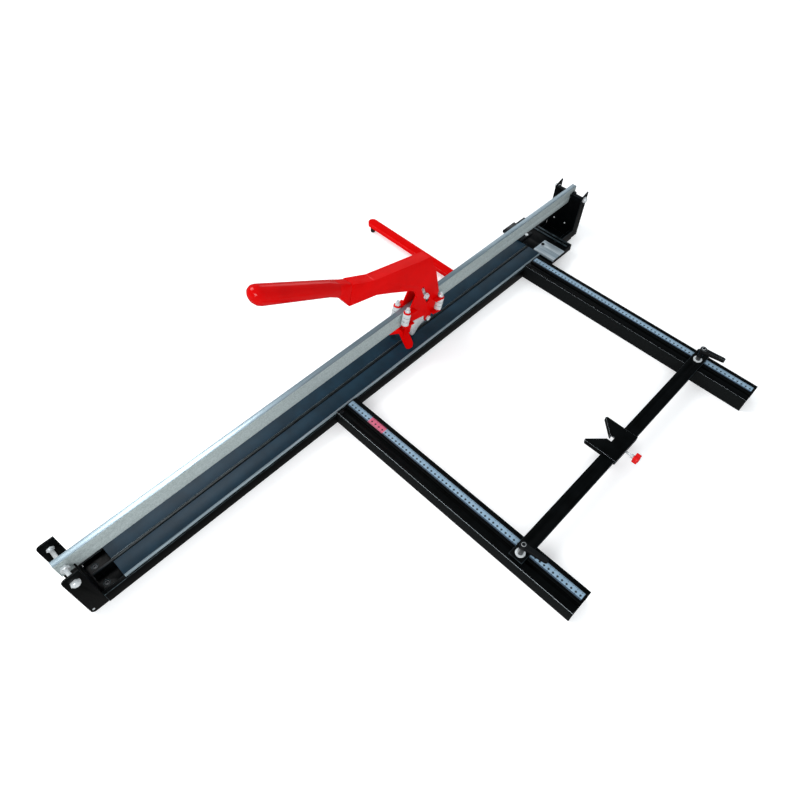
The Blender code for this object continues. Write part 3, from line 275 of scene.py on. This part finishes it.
black_coat = surface(
    "black_coat", mottle, mottled((1, 2, 3), (3, 5, 6), 30, 1400, 0.36, 0.5), bump=0.12,
    Specular_IOR_Level=0.09,
)
# painted highlight: a lighter metallic grey on the rounded edges of black pieces and on the foot's ribs,
# standing in for light caught there
painted_highlight_grey = surface(
    "painted_highlight_grey", mottle, mottled((60, 74, 80), (22, 30, 34), 90, 900, 0.3, 0.45), metallic=0.5, bump=0.1,
)
dress("base_channel", black_coat, 0.0008, highlight_rim=painted_highlight_grey)


# End plate: a black steel block sunk between the channel's walls at the near end. It grips the
# ridge's end and is held by two large black socket screws.

def begin(kind, **size):
    """A new primitive to shape, alone in the selection."""
    clear_selection()
    getattr(bpy.ops.mesh, f"primitive_{kind}_add")(**size)
    return bpy.context.object


def pick(piece, test):
    """Goes to edit mode with only the faces selected that pass the test."""
    hold(piece)
    bpy.ops.object.mode_set(mode="EDIT")
    bpy.ops.mesh.select_mode(type="FACE")
    bpy.ops.mesh.select_all(action="DESELECT")
    bpy.ops.object.mode_set(mode="OBJECT")
    for face in piece.data.polygons:
        face.select = test(face)
    bpy.ops.object.mode_set(mode="EDIT")


straight_on = 0.9  # a face whose normal has this much along an axis faces that way
on_axis = 0.00002


def cap_step(piece, inwards, rise, end=1):
    """Insets the middle face of a turned piece's end, and raises it, or sinks it, by `rise`."""
    def middle(face):
        return face.normal.z * end > straight_on and face.center.xy.length < on_axis
    pick(piece, middle)
    if inwards:
        bpy.ops.mesh.inset(thickness=inwards)
    if rise:
        bpy.ops.mesh.extrude_region_move(TRANSFORM_OT_translate={"value": (0, 0, end * rise)})
    bpy.ops.object.mode_set(mode="OBJECT")


def round_corners(piece, width, segments=2, angle=sharp_angle):
    hold(piece)
    rounding = piece.modifiers.new("round_corners", "BEVEL")
    rounding.width = width
    rounding.segments = segments
    rounding.limit_method = "ANGLE"
    rounding.angle_limit = angle
    bpy.ops.object.modifier_apply(modifier=rounding.name)
    bpy.ops.object.shade_smooth_by_angle(angle=smooth_angle)


def paint(piece, finish, test=None):
    """Gives the whole piece a finish, or only the faces that pass the test."""
    piece.data.materials.append(finish)
    if test:
        for face in piece.data.polygons:
            if test(face):
                face.material_index = len(piece.data.materials) - 1


def copy_of(piece):
    other = piece.copy()
    other.data = piece.data.copy()
    bpy.context.scene.collection.objects.link(other)
    return other


def drop(piece):
    bpy.data.objects.remove(piece, do_unlink=True)


crown_inset = 0.16  # these five are shares of a screw head's radius or height
crown_rise = 0.12
key_inset = 0.34
key_depth = 0.7
head_rounding = 0.06


def socket_screw(radius, height, finish):
    """A low round head with a recess for a key, its underside at Z = 0."""
    screw = begin("cylinder", vertices=30, radius=radius, depth=height, location=(0, 0, height / 2))
    cap_step(screw, radius * crown_inset, height * crown_rise)
    cap_step(screw, radius * key_inset, -height * key_depth)
    round_corners(screw, radius * head_rounding)
    paint(screw, finish)
    return screw


def seat_screw(node, height, proud, finish, highlight_rim=None, rim_inside=0.9):
    """A socket screw in place of the node: as wide, and `proud` of the node's top. A painted highlight,
    where one is given, covers the head's outside, from `rim_inside` of its radius."""
    low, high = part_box(node)
    radius = (high.x - low.x) / 2
    screw = socket_screw(radius, height, finish)
    if highlight_rim:
        paint(screw, highlight_rim, lambda face: face.center.xy.length > rim_inside * radius)
    screw.location = ((low.x + high.x) / 2, (low.y + high.y) / 2, high.z + proud - height)
    settle(screw, node + "_head", node, node)


blackened = surface(
    "blackened_steel", mottle, mottled((10, 12, 14), (34, 38, 42), 300, 1500, 0.25, 0.4),
    metallic=0.6, bump=0.1,
)
# the plate's rounded edges and the screw heads' outsides carry the painted highlight
dress("end_plate", black_coat, 0.0008, highlight_rim=painted_highlight_grey)
end_screw_height = 0.0032
end_screw_proud = 0.0006
for word in ("near", "far"):
    seat_screw(f"{word}_end_screw", end_screw_height, end_screw_proud, blackened, highlight_rim=painted_highlight_grey)


# Breaking ridge: a drawn steel bar under the cutting line, on which a scored tile is broken. Its
# shoulders carry the boards, and its crown stands just over the pads.

drawn_lines, given, out = effect(
    "drawn_lines",
    [("Colour", "NodeSocketColor", (0.5, 0.5, 0.5, 1)), ("Tone", "NodeSocketColor", (0.4, 0.4, 0.4, 1)),
     ("Stretch", "NodeSocketVector", (20, 900, 900)), ("Gloss low", "NodeSocketFloat", 0.25),
     ("Gloss high", "NodeSocketFloat", 0.45)],
    finish_outputs,
)
place = drawn_lines.nodes.new("ShaderNodeTexCoord")
stretch = drawn_lines.nodes.new("ShaderNodeVectorMath")
stretch.operation = "MULTIPLY"
drawn_lines.links.new(place.outputs["Object"], stretch.inputs[0])
drawn_lines.links.new(given.outputs["Stretch"], stretch.inputs[1])
lines = drawn_lines.nodes.new("ShaderNodeTexNoise")
lines.inputs["Scale"].default_value = 1
lines.inputs["Detail"].default_value = 3
drawn_lines.links.new(stretch.outputs["Vector"], lines.inputs["Vector"])
blended(drawn_lines, given, lines.outputs["Fac"], 0.38, 0.62, out)
gloss_from(drawn_lines, given, lines.outputs["Fac"], out)


def lined(colour, tone, stretch, low, high):
    return {"Colour": tint(*colour), "Tone": tint(*tone), "Stretch": stretch,
            "Gloss low": low, "Gloss high": high}


ridge_steel = surface(
    "ridge_steel", drawn_lines, lined((20, 26, 28), (10, 14, 16), (12, 1200, 1200), 0.3, 0.5),
    metallic=0.5, bump=0.1,
)
# the ridge's rounded edges carry the painted highlight
dress("breaking_ridge", ridge_steel, 0.0003, highlight_rim=painted_highlight_grey)


# Boards: two mill-finish aluminium strips on the channel's lips and the ridge's shoulders. Only
# their outer edges show, beside the pads.

mill_aluminium = surface(
    "mill_aluminium", drawn_lines, lined((178, 194, 202), (128, 146, 154), (10, 900, 900), 0.35, 0.5),
    metallic=0.45, bump=0.08,
)
for board in ("near_board", "far_board"):
    dress(board, mill_aluminium, 0.0006)


# Pads: navy rubber sheets glued to the boards, so that a tile does not slip. Their rounded edges
# carry a lighter blue as a painted highlight.

navy_rubber = surface(
    "navy_rubber", mottle, mottled((8, 35, 49), (12, 43, 59), 25, 1600, 0.42, 0.58), bump=0.2,
    Specular_IOR_Level=0.25,
)
# painted highlight: a lighter blue on the pads' rounded edges, standing in for light caught there
painted_rubber_highlight = surface(
    "painted_rubber_highlight", mottle, mottled((34, 58, 74), (22, 42, 56), 200, 1600, 0.5, 0.7), bump=0.3,
)
for pad in ("near_pad", "far_pad"):
    dress(pad, navy_rubber, 0.0004, highlight_rim=painted_rubber_highlight)


# Rail: a flat steel bar on edge, galvanised on its sides, with its top ground smooth where the
# carriage's roller runs.

galvanised = surface(
    "galvanised", mottle, mottled((186, 197, 197), (160, 172, 172), 420, 1500, 0.42, 0.58),
    metallic=0.35, bump=0.12,
)
ground_steel = surface(
    "ground_steel", drawn_lines, lined((168, 186, 196), (140, 158, 168), (14, 1400, 1400), 0.28, 0.42),
    metallic=0.85, bump=0.06,
)
least_upward = 0.5
rail = dress("rail", galvanised, 0.0009)
paint(rail, ground_steel, lambda face: face.normal.z > least_upward)


# End brackets: folded black steel. Each has a wall across the base's end, notched for the rail,
# and two cheeks that hold the rail's cross stud. Small screws fix the wall to the base.

zinc = surface(
    "zinc", mottle, mottled((240, 243, 244), (206, 212, 215), 260, 1500, 0.16, 0.3), metallic=0.4, bump=0.06,
)
# the brackets' rounded edges carry the painted highlight
for word in ("near", "far"):
    dress(f"{word}_bracket", black_coat, 0.0010, highlight_rim=painted_highlight_grey)
wall_screw_radius = 0.0022
wall_screw_height = 0.0014
wall_screw_sink = 0.0001
wall_screw_rise = 0.0364
cheek_screw_setback = 0.006
cheek_screw_rise = 0.012
wall_screw = socket_screw(wall_screw_radius, wall_screw_height, zinc)
low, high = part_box("far_bracket")
for word, across in (("near", -0.0122), ("far", 0.0226)):
    screw = copy_of(wall_screw)
    screw.rotation_euler = (0, math.radians(-90), 0)
    screw.location = (low.x - wall_screw_sink, across, wall_screw_rise)
    settle(screw, f"{word}_wall_screw", "far_bracket")
low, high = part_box("near_bracket")
for word, outer, turn in (("near", low.y, 90), ("far", high.y, -90)):
    screw = copy_of(wall_screw)
    screw.rotation_euler = (math.radians(turn), 0, 0)
    screw.location = (low.x + cheek_screw_setback, outer, cheek_screw_rise)
    settle(screw, f"{word}_cheek_screw", "near_bracket")
drop(wall_screw)


# Cross studs: a threaded stud through each bracket and the rail, with a lock nut on both sides of
# the rail and a domed zinc nut outside each cheek.

chamfer_inset = 0.14  # these three are shares of a nut's radius or height
chamfer_rise = 0.10
dome_share = 0.80
chamfer_angle = math.radians(20)


def hex_nut(radius, height, finish):
    """A chamfered hexagon nut, its underside at Z = 0."""
    nut = begin("cylinder", vertices=6, radius=radius, depth=height, location=(0, 0, height / 2))
    for end in (1, -1):
        cap_step(nut, radius * chamfer_inset, height * chamfer_rise, end)
    round_corners(nut, radius * head_rounding, angle=chamfer_angle)
    paint(nut, finish)
    return nut


def joined(first, *others):
    clear_selection()
    for piece in others:
        piece.select_set(True)
    first.select_set(True)
    bpy.context.view_layer.objects.active = first
    bpy.ops.object.join()
    return first


def domed_nut(radius, height, dome, finish):
    """A hexagon nut under a round cap that is closed at the bottom, inside the nut."""
    nut = hex_nut(radius, height, finish)
    round_half = radius * dome_share
    cap = begin("uv_sphere", segments=28, ring_count=14, radius=round_half, location=(0, 0, height))
    cap.scale = (1, 1, dome / round_half)
    hold(cap)
    bpy.ops.object.transform_apply(location=False, rotation=False, scale=True)
    bpy.ops.object.mode_set(mode="EDIT")
    bpy.ops.mesh.select_all(action="SELECT")
    bpy.ops.mesh.bisect(plane_co=(0, 0, height * 0.9), plane_no=(0, 0, 1), use_fill=True, clear_inner=True)
    bpy.ops.object.mode_set(mode="OBJECT")
    bpy.ops.object.shade_smooth()
    paint(cap, finish)
    return joined(nut, cap)


stud_nut = 0.00585
stud_dome = 0.0052
nut_swell = {"near": 1.12, "far": 1.0}
nut_turn = math.radians(15)
for word in ("near", "far"):
    dress(f"{word}_stud", zinc if word == "near" else blackened, 0.0005)
    for cheek, turn in (("front", 90), ("back", -90)):
        node = f"{word}_{cheek}_cap_nut"
        low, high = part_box(node)
        nut = domed_nut((high.x - low.x) / 2 * nut_swell[word], stud_nut, stud_dome, zinc)
        seat = high.y if cheek == "front" else low.y
        nut.rotation_euler = (math.radians(turn), nut_turn, 0)
        nut.location = ((low.x + high.x) / 2, seat, (low.z + high.z) / 2)
        settle(nut, node + "_domed", node, node)


# Cross foot: a wide folded foot under the far end of the bed. Two pressed ribs stiffen its top
# beside the end bracket, and small bolts fasten it to the channel.

rib_width = 0.0045
rib_height = 0.0024
rib_end = 0.004
rib_setbacks = (0.005, 0.017)
foot_bolt = 0.0034
foot_bolt_height = 0.0026
foot_bolt_places = ((0.6285, -0.044), (0.639, -0.060), (0.6285, 0.044), (0.639, 0.060))
# the foot's rounded edges carry the painted highlight
dress("cross_foot", black_coat, 0.0030, 3, highlight_rim=painted_highlight_grey)
low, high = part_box("cross_foot")
for index, setback in enumerate(rib_setbacks):
    rib = begin("cube", size=1, location=(high.x - setback, 0, high.z + rib_height / 2))
    rib.scale = (rib_width, 2 * (high.y - rib_end), rib_height)
    hold(rib)
    bpy.ops.object.transform_apply(location=False, rotation=False, scale=True)
    round_corners(rib, rib_height * 0.45, 3)
    # each rib is painted all over in the painted highlight
    paint(rib, painted_highlight_grey)
    settle(rib, f"foot_rib_{index + 1}", "cross_foot")
foot_bolt_head = hex_nut(foot_bolt, foot_bolt_height, blackened)
for index, (along, across) in enumerate(foot_bolt_places):
    bolt = copy_of(foot_bolt_head)
    bolt.location = (along, across, high.z)
    settle(bolt, f"foot_bolt_{index + 1}", "cross_foot")
drop(foot_bolt_head)


# Clamp plates: rolled plates that hold down the boards' ends, each with a lip and one screw. The
# near plate is zinc with a black screw; the far plate takes the dark blackened steel as painted shade, with
# a zinc screw.

rolled_zinc = surface(
    "rolled_zinc", drawn_lines, lined((206, 216, 222), (146, 162, 172), (150, 6, 150), 0.3, 0.5),
    metallic=0.45, bump=0.1,
)
flat_screw_height = 0.0026
# the far plate's dark finish is painted shade
for word, plate_finish_and_shade, screw_finish in (("near", rolled_zinc, blackened), ("far", blackened, zinc)):
    dress(f"{word}_clamp_plate", plate_finish_and_shade, 0.0009, 3)
    seat_screw(f"{word}_clamp_screw", flat_screw_height, 0, screw_finish)


# Side arms: black extrusions with a T-slot, textured on their sides, with sides in a lighter black as
# painted light and a painted highlight along the near top edge. One black screw holds each arm's root to the
# channel.

arm_edge = 0.0014
smooth_depth = 0.011
# painted highlight: a near-white finish on rounded edges, standing in for light caught by them
painted_bright_highlight = surface(
    "painted_bright_highlight", mottle, mottled((206, 216, 220), (186, 198, 204), 60, 1200, 0.3, 0.45), metallic=0.3,
    bump=0.05,
)
# painted light: the sides' textured black is lighter than the tops' black, standing in for the light falling
# on the sides
textured_black_painted_lit = surface(
    "textured_black_painted_lit", mottle, mottled((15, 19, 20), (5, 8, 9), 380, 900, 0.55, 0.75), bump=0.5,
    depth=0.0004, Specular_IOR_Level=0.15,
)
smooth_black = surface(
    "smooth_black", mottle, mottled((1, 2, 2), (4, 6, 7), 40, 1200, 0.4, 0.55), bump=0.1,
    Specular_IOR_Level=0.08,
)
for word in ("near", "far"):
    low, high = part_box(f"{word}_arm")
    arm = dress(f"{word}_arm", textured_black_painted_lit, arm_edge)
    smooth_from = high.z - smooth_depth
    # the tops take the darker black; the lighter black left on the sides is painted light
    paint(arm, smooth_black, lambda face: face.normal.z > straight_on and face.center.z > smooth_from)
    # the near top edge of each arm is painted with the highlight
    highlight_corner = (low.x + arm_edge, high.z - arm_edge)
    paint(arm, painted_bright_highlight, lambda face: face.center.x < highlight_corner[0] and face.center.z > highlight_corner[1])
    seat_screw(f"{word}_arm_screw", flat_screw_height, 0, blackened)


# Rulers: pale blue scales set in the arms. A dark dot marks each centimetre, with fine lines on
# both edges, a darker band on one side, and a tinted stretch near the root of the first scale.

def maths(tree, operation, *values):
    node = tree.nodes.new("ShaderNodeMath")
    node.operation = operation
    for socket, value in zip(node.inputs, values):
        if isinstance(value, bpy.types.NodeSocket):
            tree.links.new(value, socket)
        else:
            socket.default_value = value
    return node.outputs["Value"]


def coloured(tree, factor, first, second):
    node = tree.nodes.new("ShaderNodeMix")
    node.data_type = "RGBA"
    tree.links.new(factor, node.inputs["Factor"])
    for label, value in (("A", first), ("B", second)):
        if isinstance(value, bpy.types.NodeSocket):
            tree.links.new(value, node.inputs[label])
        else:
            node.inputs[label].default_value = value
    return node.outputs["Result"]


mark_pitch = 0.010
fine_pitch = 0.002
mark_start = 0.0185
dot_radius = 0.0021
dot_shift = -0.001
fine_half = 0.00035
fine_from = 0.0056
line_half = 0.0004
line_from = 0.0038
band_from = -0.0052
tint_start = 0.043
tint_stop = 0.086
whole_marks = 1000  # marks added so that distances along the scale stay positive
scale_marks, given, out = effect(
    "scale_marks",
    [("Middle", "NodeSocketFloat", 0.0), ("First mark", "NodeSocketFloat", 0.0),
     ("Tinted", "NodeSocketFloat", 1.0)],
    finish_outputs,
)
place = scale_marks.nodes.new("ShaderNodeTexCoord")
split = scale_marks.nodes.new("ShaderNodeSeparateXYZ")
scale_marks.links.new(place.outputs["Object"], split.inputs["Vector"])
across = maths(scale_marks, "SUBTRACT", split.outputs["X"], given.outputs["Middle"])
along = maths(scale_marks, "SUBTRACT", given.outputs["First mark"], split.outputs["Y"])
beside = maths(scale_marks, "ABSOLUTE", across)
from_start = maths(scale_marks, "ADD", along, whole_marks * mark_pitch)
to_mark = maths(scale_marks, "PINGPONG", from_start, mark_pitch / 2)
to_fine = maths(scale_marks, "PINGPONG", from_start, fine_pitch / 2)
off_middle = maths(scale_marks, "SUBTRACT", across, dot_shift)
along_squared = maths(scale_marks, "POWER", to_mark, 2.0)
across_squared = maths(scale_marks, "POWER", off_middle, 2.0)
from_dot = maths(scale_marks, "SQRT", maths(scale_marks, "ADD", along_squared, across_squared))
dot = maths(scale_marks, "LESS_THAN", from_dot, dot_radius)
fine = maths(
    scale_marks, "MULTIPLY", maths(scale_marks, "LESS_THAN", to_fine, fine_half),
    maths(scale_marks, "GREATER_THAN", beside, fine_from),
)
line = maths(
    scale_marks, "MULTIPLY", maths(scale_marks, "LESS_THAN", to_mark, line_half),
    maths(scale_marks, "GREATER_THAN", beside, line_from),
)
ink = maths(scale_marks, "MAXIMUM", maths(scale_marks, "MAXIMUM", dot, fine), line)
band = maths(scale_marks, "LESS_THAN", across, band_from)
stretch_tinted = maths(
    scale_marks, "MULTIPLY", maths(scale_marks, "GREATER_THAN", along, tint_start),
    maths(scale_marks, "LESS_THAN", along, tint_stop),
)
tinted = maths(scale_marks, "MULTIPLY", given.outputs["Tinted"], stretch_tinted)
wear = scale_marks.nodes.new("ShaderNodeTexNoise")
wear.inputs["Scale"].default_value = 60
scale_marks.links.new(place.outputs["Object"], wear.inputs["Vector"])
ground = coloured(scale_marks, wear.outputs["Fac"], tint(112, 140, 162), tint(146, 174, 194))
ground = coloured(scale_marks, band, ground, tint(66, 88, 108))
ground = coloured(scale_marks, tinted, ground, tint(196, 92, 118))
scale_marks.links.new(coloured(scale_marks, ink, ground, tint(18, 24, 32)), out.inputs["Colour"])
dull = maths(scale_marks, "MULTIPLY_ADD", wear.outputs["Fac"], 0.2, 0.35)
scale_marks.links.new(dull, out.inputs["Roughness"])
scale_marks.links.new(maths(scale_marks, "SUBTRACT", 1.0, ink), out.inputs["Height"])
for word, share in (("near", 1.0), ("far", 0.0)):
    low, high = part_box(f"{word}_ruler")
    marks = {"Middle": (low.x + high.x) / 2, "First mark": high.y - mark_start, "Tinted": share}
    dress(f"{word}_ruler", surface(f"{word}_scale", scale_marks, marks, bump=0.05), 0.0002)


# Cross bar: a flat black bar that slides over both arms. On each arm a zinc stud and washer and a
# moulded ratchet lever clamp it, with a screw in the lever's hub.

# the bar's rounded edges carry the painted highlight
dress("cross_bar", smooth_black, 0.0008, highlight_rim=painted_highlight_grey)
black_plastic = surface(
    "black_plastic", mottle, mottled((6, 7, 8), (12, 14, 16), 80, 1800, 0.22, 0.36), bump=0.1,
    Specular_IOR_Level=0.4,
)
# painted highlight: a light grey on the clamp levers' rounded edges, standing in for light caught there
painted_plastic_highlight = surface(
    "painted_plastic_highlight", mottle, mottled((150, 160, 164), (84, 92, 96), 220, 1800, 0.3, 0.45), bump=0.1,
)
hub_screw = 0.0042
hub_screw_height = 0.0016
hub_screw_ring = 0.86
for word in ("near", "far"):
    dress(f"{word}_clamp_stud", zinc, 0.0004)
    # the lever's rounded edges carry the painted highlight
    dress(f"{word}_clamp_lever", black_plastic, 0.0012, 3, highlight_rim=painted_plastic_highlight)
    hub_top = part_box(f"{word}_clamp_lever")[1].z
    hub = joint_named[f"{word}_clamp_turn"]["pos_m"]
    screw = socket_screw(hub_screw, hub_screw_height, blackened)
    paint(screw, zinc, lambda face: face.center.xy.length > hub_screw_ring * hub_screw)
    screw.location = (hub[0], hub[1], hub_top)
    settle(screw, f"{word}_hub_screw", f"{word}_clamp_lever")


# Angle stop: a folded black plate that straddles the bar, with a right-angled notch for a tile's
# corner. A zinc screw with a three-lobed red knob clamps it.

# the stop's rounded edges carry the painted highlight
dress("angle_stop", smooth_black, 0.0010, highlight_rim=painted_bright_highlight)
dress("stop_screw", zinc, 0.0003)
red_plastic = surface(
    "red_plastic", mottle, mottled((214, 0, 0), (196, 0, 0), 30, 900, 0.16, 0.28), bump=0.04,
    Specular_IOR_Level=0.5,
)
dress("stop_knob", red_plastic, 0.0014, 3)
knob_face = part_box("stop_knob")[0].y
knob_place = joint_named["stop_knob_turn"]["pos_m"]
boss_radius = 0.0056
boss_height = 0.0012
boss_proud = 0.001
boss = begin("cylinder", vertices=30, radius=boss_radius, depth=boss_height)
cap_step(boss, boss_height, -boss_height / 2)
round_corners(boss, boss_height / 4)
paint(boss, red_plastic)
boss.rotation_euler = (math.radians(90), 0, 0)
boss.location = (knob_place[0], knob_face - boss_proud + boss_height / 2, knob_place[2])
settle(boss, "knob_boss", "stop_knob")


# Support arm: a red enamelled bar on the far side that folds out under a large tile. It turns on
# a bolt through a black lug on the channel, and stands on a small rubber peg.

red_enamel = surface(
    "red_enamel", mottle, mottled((208, 0, 0), (196, 0, 0), 24, 600, 0.24, 0.36), bump=0.06,
    Specular_IOR_Level=0.03,
)
# painted highlight: a paler red on rounded edges of red pieces and on the bead across the web's bend,
# standing in for light caught there
painted_red_highlight = surface(
    "painted_red_highlight", mottle, mottled((232, 40, 44), (214, 8, 8), 160, 900, 0.2, 0.3), bump=0.06,
)
black_rubber = surface(
    "black_rubber", mottle, mottled((14, 14, 14), (22, 22, 22), 60, 1200, 0.6, 0.85), bump=0.2,
)
# the support arm's rounded edges carry the painted red highlight
dress("support_arm", red_enamel, 0.0014, 3, highlight_rim=painted_red_highlight)
dress("support_foot", black_rubber, 0.0010, 3)
dress("support_lug", black_coat, 0.0006)
dress("support_bolt", zinc, 0.0005)


# Lever: one folded and welded red steel shell, with side plates, a web over them and round ears
# for the side rollers. The grip is dipped in the same red, and flattens into the shell.

dipped_red = surface(
    "dipped_red", mottle, mottled((196, 0, 0), (186, 0, 0), 20, 500, 0.10, 0.16), bump=0.03,
    Specular_IOR_Level=0.22,
)
lever_tilt = math.radians(14)
pivot = Vector(joint_named["lever_rock"]["pos_m"])
lever_place = Matrix.Translation(pivot) @ Matrix.Rotation(lever_tilt, 4, "Y")
joint_along = -0.2468
joint_reach = 0.0006
dipped_along = -0.276


def along_lever(place):
    return (lever_place.inverted() @ place).x


def at_joint(place):
    return abs(along_lever(place) - joint_along) < joint_reach


# the frame's and the breaking foot's rounded edges carry the painted red highlight
dress("carriage_frame", red_enamel, 0.0011, 3, highlight_rim=painted_red_highlight, joins=at_joint)
grip = dress("handle_grip", red_enamel, 0.0008, 3, joins=at_joint)
paint(grip, dipped_red, lambda face: along_lever(face.center) < dipped_along)
dress("breaking_foot", red_enamel, 0.0010, 3, highlight_rim=painted_red_highlight)
bend_along = -0.1861
web_top = 0.1035
web_half = 0.0118
bead_radius = 0.0008
bead_end = 0.0002
bead = begin("cylinder", vertices=12, radius=bead_radius, depth=2 * web_half)
for end in (1, -1):
    cap_step(bead, 0.0003, bead_end, end)
round_corners(bead, bead_end)
# the bead is painted all over in the red highlight, a painted highlight line across the bend
paint(bead, painted_red_highlight)
across_lever = Matrix.Rotation(math.radians(90), 4, "X")
bead.matrix_world = lever_place @ Matrix.Translation((bend_along, 0, web_top - bead_end)) @ across_lever
settle(bead, "web_bend_bead", "carriage_frame")


# Side rollers: stacked ball bearings that hug the rail, two on each side. Each stack turns on a
# zinc bolt, held above the ear by a nut from which the bolt's round end stands out.

race_gap = 0.0004
race_depth = 0.93
race_wall = 0.0013
seal_width = 0.0022
seal_sink = 0.0005
seal_from = 0.6  # the sunk ring, in shares of the roller's radius
seal_to = 0.86
seal_black = surface(
    "seal_black", mottle, mottled((12, 14, 16), (24, 28, 32), 200, 1500, 0.4, 0.6), bump=0.1,
)
bearing_steel = surface(
    "bearing_steel", drawn_lines, lined((240, 243, 244), (212, 218, 220), (1500, 1500, 60), 0.14, 0.28),
    metallic=0.35, bump=0.06,
)
roller_height = 0.030
roller_radius = 0.009
ear_thickness = 0.0036
roller_stack = begin("cylinder", vertices=48, radius=roller_radius, depth=roller_height)
hold(roller_stack)
bpy.ops.object.mode_set(mode="EDIT")
race_lines = [roller_height * share for share in (-1 / 6, 1 / 6)]
for line in race_lines:
    for step in (-race_gap, race_gap):
        bpy.ops.mesh.select_all(action="SELECT")
        bpy.ops.mesh.bisect(plane_co=(0, 0, line + step), plane_no=(0, 0, 1))
bpy.ops.object.mode_set(mode="OBJECT")


def between_races(face):
    return abs(face.normal.z) < 0.5 and any(abs(face.center.z - line) < race_gap for line in race_lines)


pick(roller_stack, between_races)
bpy.ops.mesh.extrude_region()
bpy.ops.transform.resize(value=(race_depth, race_depth, 1))
bpy.ops.object.mode_set(mode="OBJECT")
for end in (1, -1):
    cap_step(roller_stack, race_wall, -seal_sink, end)
    cap_step(roller_stack, seal_width, seal_sink, end)
round_corners(roller_stack, 0.0004)
paint(roller_stack, bearing_steel)


def sealed(face):
    near_line = any(abs(face.center.z - line) < race_gap for line in race_lines)
    out_from_middle = face.center.xy.length / roller_radius
    return near_line or (abs(face.normal.z) > straight_on and seal_from < out_from_middle < seal_to)


paint(roller_stack, seal_black, sealed)

axle_nut_radius = 0.0065
axle_nut_height = 0.0062
axle_head_height = 0.0030
bolt_length = 0.0132
bolt_radius = 0.004
bolt_chamfer = 0.0007
washer_radius = 0.0072
washer_height = 0.0008
washer_inset = 0.0010
small_round = 0.0002
axle_nut = hex_nut(axle_nut_radius, axle_nut_height, zinc)
bolt_end = begin(
    "cylinder", vertices=28, radius=bolt_radius, depth=bolt_length, location=(0, 0, bolt_length / 2)
)
cap_step(bolt_end, bolt_chamfer, 0.0003)
round_corners(bolt_end, 2 * small_round)
paint(bolt_end, zinc)
washer = begin(
    "cylinder", vertices=32, radius=washer_radius, depth=washer_height, location=(0, 0, 0.0003)
)
cap_step(washer, washer_inset, small_round / 2)
round_corners(washer, small_round)
paint(washer, zinc)
axle_top = joined(axle_nut, bolt_end, washer)
axle_head = hex_nut(axle_nut_radius, axle_head_height, zinc)
cap_step(axle_head, 2 * bolt_chamfer, -washer_inset)
for word in ("near", "far"):
    for end in ("left", "right"):
        node = f"{word}_{end}_roller"
        joint = joint_named[f"{node}_spin"]
        turn = Vector(joint["axis"]).to_track_quat("Z", "Y").to_matrix().to_4x4()
        stand = Matrix.Translation(joint["pos_m"]) @ turn
        roller = copy_of(roller_stack)
        roller.matrix_world = stand
        settle(roller, f"{node}_bearings", node, node)
        seat = roller_height / 2 + ear_thickness
        upper = copy_of(axle_top)
        upper.matrix_world = stand @ Matrix.Translation((0, 0, seat))
        lower = copy_of(axle_head)
        lower.matrix_world = stand @ Matrix.Translation((0, 0, -seat)) @ Matrix.Rotation(math.pi, 4, "X")
        bolt = joined(upper, lower)
        settle(bolt, f"{node}_axle", f"{node}_bolt", f"{node}_bolt")
for pattern in (roller_stack, axle_top, axle_head):
    drop(pattern)


# Pivot: the bolt in the lever's depth slot, with a washer and nut on each side, and the roller on
# it that runs along the rail's ground top.

dress("top_roller", bearing_steel, 0.0006)
dress("pivot_bolt", zinc, 0.0005)


# Scoring wheel: a small ground carbide wheel on a pin, in a zinc fork that one bolt holds between
# the lever's lugs.

carbide = surface(
    "carbide", drawn_lines, lined((150, 156, 160), (110, 116, 120), (900, 60, 900), 0.12, 0.25),
    metallic=0.9, bump=0.05,
)
dress("scoring_wheel", carbide, 0.0001, 1)
for node in ("wheel_holder", "wheel_pin", "holder_bolt"):
    dress(node, zinc, 0.0005)


# Floor: the cutter stands on a plain pale floor, a little brighter than the light alone makes it.

bpy.ops.mesh.primitive_plane_add(size=30, location=(0, 0, 0))
floor = bpy.context.object
floor.name = "floor"
pale = bpy.data.materials.new("pale_floor")
pale.use_nodes = True
pale_shader = pale.node_tree.nodes["Principled BSDF"]
pale_shader.inputs["Base Color"].default_value = (0.93, 0.93, 0.93, 1)
pale_shader.inputs["Roughness"].default_value = 0.9
pale_shader.inputs["Emission Color"].default_value = (1, 1, 1, 1)
pale_shader.inputs["Emission Strength"].default_value = 0.22
dim_floor = pale.node_tree.nodes.new("ShaderNodeEmission")
dim_floor.inputs["Strength"].default_value = card_strength
dim_to_gloss(
    pale.node_tree, pale_shader.outputs["BSDF"], dim_floor.outputs["Emission"],
    pale.node_tree.nodes["Material Output"].inputs["Surface"],
)
floor.data.materials.append(pale)
